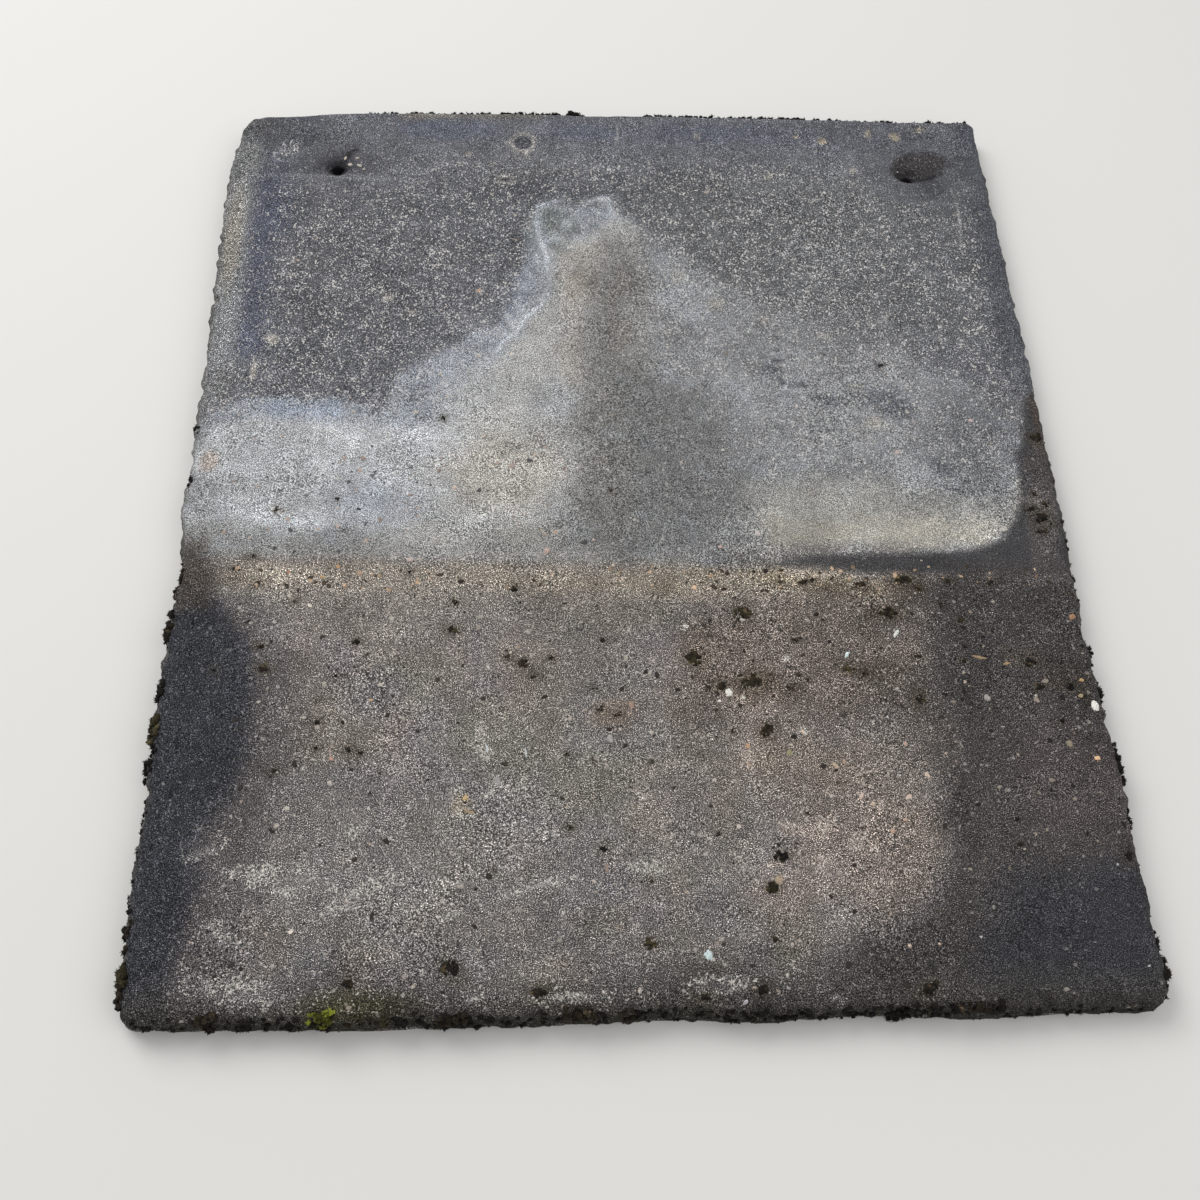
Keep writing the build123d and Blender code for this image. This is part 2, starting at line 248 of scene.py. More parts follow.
# Single stones and flakes bedded in the face: place, size along, across and up, turn, colour
STONES = (
    (22.5, -222.5, 5, 3, 0.5, 100, (198, 214, 214)), (92, -91, 3.6, 2, 0.5, 60, (218, 230, 230)),
    (115, -80.5, 5.2, 2.4, 0.9, 60, (224, 226, 222)), (39, -109.5, 4.4, 3.2, 1.2, 80, (226, 224, 216)),
    (34.5, -113, 1.8, 1.4, 0.8, 0, (214, 212, 204)), (-12.5, -129.5, 4.6, 2.8, 1, 110, (166, 164, 160)),
    (150.5, -112.5, 3.4, 2.8, 1.2, 100, (172, 164, 158)),
    (-72.5, -155.5, 3.6, 2.8, 0.8, 40, (194, 166, 126)), (-71, -162, 6, 1.4, 0.4, -15, (158, 138, 114)),
    (-113, -111.5, 1.8, 1.4, 0.8, 0, (200, 166, 138)), (193, -141, 2.8, 2.2, 1.2, 0, (222, 186, 146)),
    (195.5, -72.5, 3.6, 2.4, 1.2, 60, (168, 130, 100)), (193.5, -104, 2.2, 1.8, 1, 0, (190, 156, 108)),
    (191.5, -111.5, 2.8, 2, 0.8, 0, (166, 150, 120)), (182.5, -134, 3, 3.6, 1.2, 0, (140, 130, 112)),
    (150, -92.5, 6, 1.6, 0.6, -10, (156, 134, 106)), (197.5, -116, 3.6, 5.4, 1.2, 0, (240, 236, 230)),
    (172, -111.5, 1.4, 1.4, 0.8, 0, (190, 182, 170)), (128.5, -138, 1.4, 1.4, 0.6, 0, (186, 168, 156)),
    (119.5, -148, 3, 1.6, 0.8, 100, (214, 192, 174)), (90.5, -157, 3, 1.6, 0.6, 60, (210, 188, 174)),
    (110, -157.5, 3, 1.8, 0.6, 30, (210, 188, 174)), (62.5, -137, 2.8, 2.6, 0.6, 0, (152, 148, 112)),
    (112, -133.5, 2.4, 1.6, 0.6, 80, (188, 162, 148)), (69, -127.5, 1.2, 2, 0.7, 0, (212, 186, 160)),
    (106, -121, 1.4, 1.4, 0.7, 0, (190, 190, 186)), (45, -142.5, 3.2, 1.8, 0.6, -20, (176, 154, 136)),
    (45, -134, 1.8, 2.6, 0.6, 0, (186, 150, 120)), (101.5, -172.5, 3, 2.6, 0.8, 0, (184, 158, 140)),
    (95, -160.5, 1.8, 2.4, 0.8, 0, (198, 178, 160)), (107.5, -167.5, 2.4, 1.6, 0.6, 0, (190, 164, 148)),
    (81, -143, 2.2, 3.4, 0.6, 30, (186, 166, 146)), (85, -141.5, 2, 2.4, 0.6, 0, (176, 152, 136)),
    (53, -192.5, 5, 3, 0.5, 60, (170, 152, 132)), (102, -220, 1.8, 1.6, 0.8, 0, (196, 176, 160)),
    (114, -219.5, 1.4, 1.4, 0.8, 0, (206, 182, 160)), (131, -217, 1.2, 1.2, 0.6, 0, (186, 184, 180)),
    (161.5, -238.5, 2.6, 1.6, 0.6, 0, (146, 140, 134)), (36, -242, 2.4, 1.8, 0.8, 60, (190, 184, 190)),
    (196, -229.5, 1.6, 0.8, 0.4, 40, (190, 190, 192)), (172.5, -26, 3.4, 2.6, 0.8, 30, (188, 184, 176)),
    (40.5, -35.5, 1.8, 1.6, 0.7, 0, (200, 168, 160)), (128.5, 17, 3.6, 2.2, 0.6, 20, (186, 174, 168)),
    (166.5, 36, 2.6, 1.8, 0.6, -10, (196, 172, 170)), (71, 15.5, 2.4, 1.4, 0.5, 20, (176, 176, 176)),
    (99, 19, 1.6, 2.4, 0.5, 0, (170, 172, 174)), (26, 8, 1.2, 2.4, 0.5, 0, (168, 170, 172)),
    (-99, -42, 3.4, 2, 1, 20, (196, 178, 172)), (-38, -37.5, 3.2, 3.4, 0.9, 0, (180, 160, 152)),
    (-133.5, 1.5, 1.6, 1.6, 0.5, 0, (190, 186, 180)), (-128, -138, 2, 2.6, 0.8, 0, (186, 148, 134)),
    (-3, -114.5, 2.4, 3.4, 0.6, 20, (158, 134, 118)), (-16, -186.5, 2, 3, 0.7, 0, (150, 132, 122)),
    (-64, -134.5, 1, 4, 0.4, 6, (200, 204, 206)), (-48, -136, 1, 5, 0.4, 6, (190, 192, 194)),
    (-124, -244.5, 2, 2, 0.8, 0, (174, 168, 120)), (-34, -28, 2.4, 2.4, 0.8, 0, (178, 158, 142)),
    (-40.5, -26.5, 1.4, 1.4, 0.6, 0, (186, 170, 152)), (2, -21, 2, 1.6, 0.8, 0, (196, 186, 180)),
    (-8.5, -45, 1.4, 2, 0.9, 0, (200, 186, 170)), (-105, -5, 1.4, 1.2, 0.5, 0, (180, 176, 170)),
    (47.5, -73.5, 2.4, 1.6, 1.2, 0, (188, 184, 172)), (-130.5, -45.5, 2, 2, 0.8, 0, (186, 150, 110)),
    (-137, -51, 2, 1.8, 0.8, 0, (190, 158, 112)), (-152, -48.5, 2, 1.6, 0.8, 0, (184, 136, 110)),
    (-112, -50.5, 2.6, 2.2, 0.9, 0, (164, 146, 124)), (-68, -71.5, 3.4, 1.8, 0.6, 0, (160, 156, 146)),
    (-68, -76.5, 2.6, 3, 0.7, 0, (150, 142, 132)), (-51, -86.5, 2.4, 2.2, 0.7, 0, (166, 150, 136)),
    (-59.5, -148.5, 2.4, 5, 0.4, 10, (160, 158, 156)), (117, -66, 1.6, 1.4, 0.8, 0, (170, 164, 156)),
    (86.5, -66.5, 1.6, 1.4, 0.8, 0, (176, 168, 158)), (161, -64.5, 1.6, 1.2, 0.8, 0, (190, 178, 168)),
    (142, -104.5, 1.4, 1.6, 0.8, 0, (190, 176, 160)), (155, -126, 2, 0.8, 0.5, 0, (170, 172, 170)),
    (192, -188, 1.2, 1.2, 0.7, 0, (170, 168, 168)), (131.5, -43, 1.2, 1.2, 0.8, 0, (170, 164, 158)),
    (183, -51.5, 2.2, 1.8, 1, 0, (120, 100, 88)), (45, -111.5, 2.4, 2, 1, 0, (200, 196, 184)),
    (162, -95.5, 4, 1.6, 0.6, 20, (160, 136, 104)), (-99, 40, 2.4, 1.8, 0.5, 0, (194, 184, 166)),
    (-53.6, 75, 2.2, 1.8, 0.5, 0, (204, 196, 184)), (-70, 74, 2, 1.8, 0.5, 30, (194, 186, 172)),
    (-88, 63, 1.8, 1.6, 0.5, 0, (190, 180, 164)), (-29, 63, 2.2, 1.8, 0.5, 0, (196, 188, 176)),
    (-128, 40, 2, 1.6, 0.5, 0, (190, 182, 168)), (-70, 115.5, 2.4, 2, 0.5, 0, (190, 158, 134)),
    (-138.5, 201.5, 2.4, 2, 0.6, 20, (196, 188, 176)),
    (-133.5, 201, 3.2, 1.8, 0.6, -20, (192, 184, 170)), (-135, 206.5, 2, 1.4, 0.5, 0, (186, 176, 162)),
    (-141.5, 206.5, 2.4, 1.4, 0.5, 60, (184, 174, 160)),
    (-131, 198.5, 1.6, 1.2, 0.5, 0, (180, 172, 160)), (-174, 216, 0.8, 3, 0.4, 20, (172, 170, 168)),
    (-170, 218, 1, 2.6, 0.4, -30, (172, 170, 168)), (-167, 213, 2.4, 1, 0.4, 20, (176, 172, 166)),
    (-172, 208, 0.9, 3, 0.4, 0, (172, 170, 168)), (-176, 205, 2, 1, 0.4, 40, (168, 166, 164)),
    (154, 203, 1.6, 1, 0.4, 40, (176, 172, 168)),
)

# Beds of small pebbles and dark bits: low corner, high corner, how many, and their colour
PEBBLE_BEDS = (
    ((-180, -58), (190, -46), 60, (174, 150, 126)), ((-196, -34), (-10, 26), 60, (174, 156, 146)),
    ((-160, -120), (20, -60), 90, (166, 160, 150)), ((-150, -236), (100, -120), 90, (168, 160, 152)),
    ((130, -190), (198, -60), 36, (138, 128, 118)), ((20, -30), (170, 110), 30, (160, 154, 149)),
    ((-170, -236), (125, -58), 170, (52, 46, 41)), ((16, -130), (130, -48), 70, (44, 38, 33)),
    ((-190, -60), (190, -46), 60, (66, 57, 48)), ((-196, -38), (-10, 26), 34, (84, 84, 86)),
    ((125, -180), (200, -58), 50, (34, 31, 31)),
)


def ease(low, high, value):
    """0 below low, 1 above high, and a soft step between them."""
    share = np.clip((value - low) / (high - low), 0, 1)
    return share * share * (3 - 2 * share)


def blotches(u, v, size, seed):
    """Smooth random values from 0 to 1 over a plane, in blotches about size across."""
    table = np.random.default_rng(seed).random((256, 256))
    u, v = u / size, v / size
    column, row = np.floor(u).astype(int), np.floor(v).astype(int)
    across, up = u - column, v - row
    across, up = across**2 * (3 - 2 * across), up**2 * (3 - 2 * up)
    column, row = column % 256, row % 256
    right, above = (column + 1) % 256, (row + 1) % 256
    low = table[row, column] * (1 - across) + table[row, right] * across
    high = table[above, column] * (1 - across) + table[above, right] * across
    return low * (1 - up) + high * up


def turned(x, y, turn):
    """The place x, y as it reads in axes turned by that many degrees."""
    c, s = math.cos(math.radians(turn)), math.sin(math.radians(turn))
    return x * c + y * s, y * c - x * s


def distance_to_path(x, y, path):
    """Distance from each point to a line drawn through the points of path."""
    nearest = np.full(x.shape, np.inf)
    for (ax, ay), (bx, by) in zip(path[:-1], path[1:]):
        run, rise = bx - ax, by - ay
        share = np.clip(((x - ax) * run + (y - ay) * rise) / (run**2 + rise**2), 0, 1)
        nearest = np.minimum(nearest, np.hypot(x - ax - share * run, y - ay - share * rise))
    return nearest


def depth_inside(x, y, area):
    """Distance from each point to the border of an area: positive inside, negative outside."""
    border = [*area, area[0]]
    inside = np.zeros(x.shape, bool)
    for (ax, ay), (bx, by) in zip(border[:-1], border[1:]):
        crosses = (ay > y) != (by > y)
        with np.errstate(divide="ignore", invalid="ignore"):
            inside ^= crosses & (x < ax + (y - ay) * (bx - ax) / (by - ay))
    return np.where(inside, 1, -1) * distance_to_path(x, y, border)


class Canvas:
    """The colour and finish of every point, laid on in washes, strokes and dabs (mm)."""

    def __init__(self, x, y, **ground):
        self.x, self.y = x, y
        waves = (0.55, 17, 1), (0.3, 7, 2), (0.15, 3, 3)
        self.wander = sum(share * blotches(x, y, size, seed) for share, size, seed in waves) * 2 - 1
        self.layers = {
            name: np.tile(np.asarray(value, float), (len(x), 1)) for name, value in ground.items()
        }

    def lay(self, depth, colour, strength, soft, ragged, **paint):
        """Paint where depth is above 0, softly and raggedly: the colour and the layers named."""
        depth = depth + ragged * self.wander
        mask = strength * ease(-soft / 2, soft / 2, depth)[:, None]
        if colour:
            paint["colour"] = colour
        for name, value in paint.items():
            layer = self.layers[name]
            layer += (np.asarray(value, float) - layer) * mask

    def wash(self, area, colour=None, strength=1, soft=8, ragged=3, **paint):
        """Paint an area given by its corners."""
        self.lay(depth_inside(self.x, self.y, area), colour, strength, soft, ragged, **paint)

    def stroke(self, path, width, colour=None, strength=1, soft=4, ragged=1.5, **paint):
        """Paint a line of that width through the points of path."""
        depth = width / 2 - distance_to_path(self.x, self.y, path)
        self.lay(depth, colour, strength, soft, ragged, **paint)

    def dab(self, x, y, wide, high, colour, strength=1, soft=None, ragged=None, turn=0, **paint):
        """Paint an oval of that size, turned by that many degrees."""
        across, along = turned(self.x - x, self.y - y, turn)
        small = min(wide, high) / 2
        depth = (1 - np.hypot(across / (wide / 2), along / (high / 2))) * small
        soft = small if soft is None else soft
        ragged = small / 5 if ragged is None else ragged
        self.lay(depth, colour, strength, soft, ragged, **paint)

    def strokes(self, *rows):
        """Paint several strokes, each given as a row."""
        for row in rows:
            self.stroke(*row)

    def dabs(self, *rows):
        """Paint several dabs, each given as a row."""
        for row in rows:
            self.dab(*row)


def paint_upper_field(face):
    """The slate-grey half that the course above covers, with its blue-grey shades and painted light."""
    face.wash([(16, 205), (206, 205), (206, 84), (16, 84)], (102, 103, 105), 0.9, 40)
    face.dabs((-120, 150, 140, 100, (96, 96, 100), 0.8, 50), (-140, 110, 90, 44, (92, 92, 96), 0.7, 30),
            (-84, 172, 100, 36, (92, 93, 97), 0.6, 26), (-60, 154, 34, 48, (92, 93, 97), 0.6, 18),
            (30, 182, 70, 24, (95, 96, 99), 0.6, 18), (166, 132, 80, 70, (94, 95, 99), 0.5, 40),
            (-150, 80, 70, 40, (93, 94, 98), 0.5, 30))
    face.wash([(60, 112), (130, 112), (140, 76), (90, 80)], (120, 120, 122), 0.5, 24, 6)
    # The head's grey is a little bluer than the field: partly its own tint, partly a painted sky
    # reflection where the face is seen at a low angle
    face.wash([(-206, 250), (206, 250), (206, 204), (-206, 204)], HEAD_GREY, 1, 26, speck=0.4,
            sand=0.85)
    face.wash([(-206, 194), (206, 194), (206, 184), (-206, 184)], strength=0.4, soft=22, speck=0.5)
    # A blue-grey band along the head: partly the slate's own tint, partly a painted sky reflection
    face.dab(-88, 229, 52, 15, BLUE_SHADE, 0.45, speck=0.1)
    face.dabs((-14, 228, 40, 14, BLUE_SHADE, 0.4), (60, 228, 90, 16, BLUE_SHADE, 0.35),
            (150, 226, 100, 20, (86, 88, 98), 0.35))
    face.stroke([(-178, 206), (-180, 150), (-181, 78)], 14, (79, 84, 99), 0.7, 14, 4, speck=0.5)
    face.stroke([(-168, 235), (-172, 160)], 16, BLUE_SHADE, 0.4, 18)
    # A dark blue-grey band down the right edge: painted shade on the bevel that faces away from the
    # light
    face.stroke([(196, 235), (196, 60)], 16, (80, 82, 90), 0.75, 14, speck=0.15)
    face.dab(168, 200, 66, 48, (84, 85, 90), 0.75, 28, speck=0.15, sand=0.5)
    face.dab(-150, 202, 60, 40, (86, 86, 91), 0.7, 24, speck=0.2, sand=0.6)
    # Painted shade in the left nail hole: a dark funnel, a near-black core where its far wall lies in
    # shade, and a dark tail up to the right
    face.dab(-147, 201, 20, 16, (56, 56, 60), 0.75, 9, turn=30, speck=0, sand=0.4)
    face.dab(-145, 199.5, 10, 9, (30, 30, 33), 1, 3, speck=0, sand=0.2)
    face.stroke([(-144, 202), (-140, 208), (-136, 213)], 2.6, (42, 42, 46), 0.8, 3, 0.5, speck=0)
    # The spalled crater's own dark brown-grey deepened by painted shade, a painted shadow under its
    # steep near rim, and painted shade in the right nail hole's funnel
    face.dab(165, 206, 32, 19, (60, 57, 58), 0.9, 4, 1.5, turn=22, speck=0.35)
    face.stroke([(152, 199), (160, 195), (169, 196), (176, 201)], 2.6, (40, 39, 41), 0.8, 2.4, 0.8)
    face.dab(159, 200, 14, 10, (42, 40, 42), 0.8, 4, turn=20, speck=0.2)
    face.dab(-50, 204, 60, 22, (113, 113, 114), 0.5, 16, speck=0.5)
    face.dab(-150, 60, 80, 24, (98, 98, 102), 0.4, 16)
    face.stroke([(-112, 239), (-40, 240.5)], 5, (118, 111, 100), 0.6, 5)
    face.stroke([(-186, 192.5), (-160, 193), (-118, 192)], 2.4, (140, 142, 146), 0.5, 2, 1)
    face.dab(-171, 211, 13, 17, (110, 110, 113), 0.6, 7, 4, speck=2.8)
    for x, y, wide, high in ((-76, 211, 4, 3), (83, 197, 4, 4), (129, 202, 4, 3), (46, 226, 3, 4),
            (-171, 84, 5, 4), (-46, 214, 3, 8), (-51, 216, 3, 4), (-177, 64, 3, 12), (-169, 83, 4, 6),
            (-115, 110, 5, 4), (-70, 115, 4, 3), (-103, 101, 4, 3)):
        face.dab(x, y, wide, high, (172, 165, 154), 0.7, 2, speck=1.8)
    for x, y, wide, high, turn in ((140, 229, 3, 8, -15), (154.5, 227.5, 4, 5, 0),
            (170, 233.5, 9, 2.6, 10), (114.5, 223.5, 4.6, 3, 0), (166, 231, 3, 3, 0),
            (100, 227, 3, 2.4, 0)):
        face.dab(x, y, wide, high, (168, 156, 132), 0.8, 1.4, 1.4, turn=turn, speck=1.2)
    for x, y, wide, high in ((-47.5, 219.5, 13, 14), (-57, 192.5, 8, 7)):
        face.dab(x, y, wide, high, (148, 144, 140), 0.7, 1.6, 2.4, speck=1.6)
        face.dab(x, y, wide - 4, high - 4.6, (84, 85, 91), 1, 1.6, speck=0.2)
    for line in SCRATCHES:
        face.stroke(line, 0.9, (166, 165, 162), 0.7, 0.8, 0.7, speck=0.3)


def paint_left_arris(face):
    """The worn, paler band along the left arris, tan in places and yellow at its corner."""
    band = [(-208, 250), (-189, 250), (-187, 236), (-187, 62), (-191, 47), (-208, 47)]
    face.wash(band, WORN_ARRIS, 1, 6, 2.5, speck=0.45, sand=1.05, warm=0.5)
    face.dabs((-195, 150, 10, 70, TAN, 0.5), (-190, 208, 20, 34, (108, 108, 108), 0.5, 12),
            (-182, 228, 34, 20, (94, 94, 97), 0.7, 10))
    # The pale cream line round the rounded top-left corner: its own tan, brightened by a painted
    # highlight
    face.strokes(([(-202, 224), (-200, 232), (-193, 238)], 2.4, (188, 178, 156), 0.8, 2, 1),
            ([(-188, 239), (-160, 242)], 3, (166, 157, 134), 0.6, 3),
            ([(-203, 225), (-203, 60)], 3, (92, 91, 88), 0.5, 3))
    # This stroke and the last one above darken the very rim: painted shade where the rounded arris
    # turns away
    face.stroke([(-205, 150), (-205, 50)], 7, (84, 84, 84), 0.5, ragged=3)
    face.dab(-194, 56, 22, 26, (98, 98, 99), 0.7, 10, 4)


def paint_left_haze(face):
    """The pale lime bloom left of the middle: a grey skirt, then tide lines, then the bloom."""
    skirt = [(-208, 36), (-197, 38), (-188, 45), (-176, 48), (-158, 49), (-146, 48), (-133, 46),
            (-122, 41), (-114, 40), (-109, 49), (-108, 60), (-101, 70), (-89, 75), (-82, 82), (-74, 88),
            (-60, 94), (-52, 106), (-49, 122), (-46, 140), (-44, 170), (-24, 174), (-2, 174), (8, 166),
            (12, -38), (-208, -38)]
    face.wash(skirt, (138, 142, 149), 0.9, 7, 5, speck=0.9, sand=0.9, bloom=0.3)
    face.dab(-32, 160, 24, 30, (108, 112, 110), 0.85, 12, 5, turn=-20, speck=0.7)
    face.dab(-170, 44, 16, 10, (122, 126, 134), 0.5, 8)
    face.dab(-62, 66, 16, 22, (170, 173, 176), 0.6, 10)
    haze = [(-208, 28), (-190, 33), (-166, 37), (-152, 33), (-133, 31), (-118, 23), (-100, 28),
            (-90, 29), (-79, 33), (-70, 43), (-63, 53), (-62, 70), (-57, 84), (-50, 92), (-45, 100),
            (-37, 108), (-35, 116), (-36, 130), (-35, 142), (-26, 145), (-14, 150), (-4, 163), (8, 166),
            (14, -38), (-208, -38)]
    face.wash(haze, HAZE, 1, 7, speck=0.15, sand=0.9, warm=0.2, bloom=0.32)
    face.wash([(-52, 92), (-37, 110), (-34, 138), (-4, 160), (14, 160), (14, 60), (-60, 60)],
            (158, 157, 155), 1, 16, 4)
    face.dab(-38, 94, 22, 34, (172, 171, 169), 0.5, 14, turn=-30, sand=0.9)
    face.stroke([(-12, 142), (-22, 112), (-26, 82), (-24, 60)], 11, (150, 143, 134), 0.5, 10, 4,
            speck=0.5, sand=0.9)
    face.stroke([(1, 172), (-3, 160), (-9, 152), (-18, 147)], 6, (166, 166, 165), 0.5, 5, 2)
    face.dab(-22, 170, 34, 16, (140, 147, 158), 0.25, 9, 5, turn=10, wisp=0.9)
    face.dab(-51, 112, 12, 30, (120, 130, 145), 0.3, 9, 4, turn=-20)
    for line in TIDE_BANDS:
        face.stroke(line, 3, TIDE, 0.75, 5, 3, wisp=0.5)
        face.stroke(line, 1.5, (176, 182, 190), 0.5, 1.6, 1.8)
    for line in TIDE_LINES:
        face.stroke(line, 6, TIDE, 0.45, 6, 5, wisp=0.8)
        face.stroke(line, 1.2, (196, 200, 206), 0.85, 1, 2.4, speck=0.2)
    for line in ([(-43, 142), (-38, 133)], [(-46, 128), (-39, 118)], [(-52, 108), (-46, 99)],
            [(-60, 92), (-55, 85)], [(-72, 62), (-63, 54)], [(-84, 44), (-76, 37)],
            [(-32, 150), (-24, 144)], [(-58, 100), (-52, 94)]):
        face.stroke(line, 1.6, (176, 181, 188), 0.5, 1.6, 2, wisp=0.8)
    for x, y, wide, high in ((-24, 161, 6, 7), (-27, 172, 7, 5), (-31, 152, 6, 6), (-5, 176, 7, 9),
            (-14, 168, 5, 6)):
        face.dab(x, y, wide, high, (168, 173, 178), 0.5, 4, 3.6, wisp=0.9)
    for x, y, wide, high in ((-32, 166, 9, 10), (-20, 157, 8, 8), (-12, 160, 6, 7), (-29, 144, 7, 8)):
        face.dab(x, y, wide, high, (86, 91, 88), 0.45, 3, 3.6)
    face.dab(-22, 126, 16, 36, (156, 147, 137), 0.45, 10, 4, speck=0.5)
    face.dab(-132, 12, 120, 40, (174, 175, 177), 1, 20)
    face.dab(-64, 44, 40, 50, (170, 169, 167), 0.7, 20, turn=-20)
    face.dab(-56, 6, 60, 50, HAZE_WARM, 0.8, 30)
    face.dab(-90, 22, 36, 18, (178, 180, 184), 0.5, 10)
    face.strokes(([(-190, 24), (-186, 4), (-190, -14)], 12, LIME_WHITE, 0.7, 10),
            ([(-176, 22), (-172, 2)], 8, (188, 191, 195), 0.6, 8),
            ([(-178, -14), (-160, -23), (-140, -22)], 9, (182, 186, 190), 0.6, 8),
            ([(-162, 42), (-138, 41)], 10, (136, 144, 160), 0.6, 8, 4))
    face.dab(-118, -12, 40, 26, HAZE_BLUE, 0.4, 16)
    face.dab(-196, -6, 16, 30, (150, 150, 152), 0.5, 10)
    below = [(-208, -22), (-176, -27), (-130, -30), (-60, -24), (10, -20), (10, -44), (-208, -44)]
    face.wash(below, (133, 132, 130), 1, 16, 5, bloom=0.4)
    face.dabs((-168, -31, 34, 13, (136, 137, 139), 0.5), (-131, -31, 26, 14, (128, 128, 130), 0.6),
            (-92, -29, 34, 15, (156, 154, 151), 0.6), (-50, -28, 24, 13, (152, 149, 144), 0.4))
    face.stroke([(-202, 56), (-201, 24)], 9, (104, 104, 104), 0.7, 7, 3)
    face.stroke([(-204, 4), (-202, -14), (-204, -24)], 9, (128, 130, 134), 0.5, 8, 3)
    face.dab(-193, 12, 10, 12, (164, 152, 143), 0.8, 3, speck=0.1)


def paint_middle_column(face):
    """The darker, browner run of damp down the middle, with beige beside it."""
    column = [(-16, 96), (-12, 128), (-3, 144), (16, 146), (34, 100), (44, 40), (44, -42), (-26, -42),
            (-26, 0), (-19, 50)]
    face.wash(column, (119, 118, 116), 1, 24, 8, speck=0.7, sand=0.85, warm=0.3, bloom=0.3)
    face.dab(-2, 20, 36, 100, (108, 105, 100), 0.4, 26, 4)
    face.dab(4, 110, 24, 60, (114, 110, 104), 0.35, 18)


def paint_right_haze(face):
    """The dimmer grey bloom right of the middle, brightest along its lower edge."""
    haze = [(14, 150), (22, 144), (32, 136), (48, 124), (66, 110), (88, 97), (114, 84), (150, 70),
            (186, 50), (197, 40), (190, 20), (185, -6), (177, -27), (163, -37), (100, -40), (8, -41)]
    face.wash(haze, DIM_HAZE, 1, 26, 8, speck=0.95, sand=0.85, bloom=0.3)
    face.wash([(-6, 66), (40, 56), (62, -4), (56, -42), (-6, -42)], (110, 110, 110), 0.9, 26, 6,
            speck=0.45)
    face.dab(31, 122, 14, 44, (150, 152, 156), 0.55, 12, 4, turn=14)
    face.dab(70, 102, 40, 20, (146, 147, 149), 0.4, 16, 5, turn=-25)
    face.dabs((160, 24, 60, 60, (113, 114, 117), 0.8, 34), (188, 46, 26, 60, (98, 98, 102), 0.6, 16),
            (118, -9, 56, 16, (162, 161, 157), 0.5, 12, 4), (110, 30, 60, 30, (142, 143, 144), 0.5, 24))
    face.wash([(56, -4), (82, 2), (112, 0), (140, -8), (178, -12), (172, -26), (160, -36), (62, -38)],
            (148, 147, 143), 1, 18, 5, sand=0.7, speck=0.5)
    face.wash([(64, -20), (172, -21), (161, -34), (64, -36)], (159, 154, 144), 0.8, 10, sand=0.5)
    face.stroke([(184, 2), (182, -9), (176, -22), (163, -32), (120, -37)], 2.4, (176, 172, 160), 0.45,
            3)
    for x, y, wide, high in ((128, 45, 24, 14), (98, 47, 16, 10), (84, 58, 12, 8), (150, 7, 14, 12),
            (125, 68, 8, 5), (72, 66, 14, 8), (128, 52, 8, 9), (134, 43, 6, 7), (152, -4, 22, 5)):
        face.dab(x, y, wide, high, (84, 86, 92), 0.65, ragged=3.4, turn=-20)
    for line in ([(69, 75), (74, 72), (83, 73)], [(76, 60), (82, 55), (88, 57)], [(73, 90), (80, 84)]):
        face.stroke(line, 1.6, (66, 68, 72), 0.7, 1.6, 1.2, speck=0.2)
    for x, y, wide, high in ((120, 34.5, 9, 7), (49, 108, 7, 8), (72, 98, 5, 8), (30, 126, 6, 8),
            (113, 56, 7, 5), (101, 88, 7, 4)):
        face.dab(x, y, wide, high, (168, 160, 146), 0.4, 4, 2.5)


def paint_black_band(face):
    """The near-black line of growth under the overlap and up the right edge."""
    face.wash([(44, -38), (80, -35), (130, -36), (130, -50), (44, -48)], (104, 101, 98), 0.7, 14, 2,
            bloom=0)
    band = [(60, -45), (78, -41.5), (98, -39.5), (118, -39.5), (136, -39), (154, -37.6), (164, -34.6),
            (171, -31), (176, -24.5), (181, -16), (184, -7), (185, 6), (186, 16), (189, 20), (191, 31),
            (195, 47), (200, 56), (208, 58), (208, -54), (150, -51.5), (96, -50.5), (60, -48)]
    face.wash(band, (66, 65, 67), 1, 5, 1.2, speck=0.2, sand=0.6, warm=0.6, bloom=0, wisp=0)
    face.stroke([(200, 48), (199, 18)], 5, (88, 76, 70), 0.7, ragged=2, speck=0.3, sand=1, cover=0.6)
    face.stroke([(198, 12), (194, -10), (188, -46)], 14, (84, 78, 77), 0.6, 8, 4, speck=0.4, sand=1,
            cover=0.3)
    face.stroke([(182, -11), (188, -9), (194, -12), (199, -17)], 1.6, (122, 116, 112), 0.5, 1.4, 0.8)


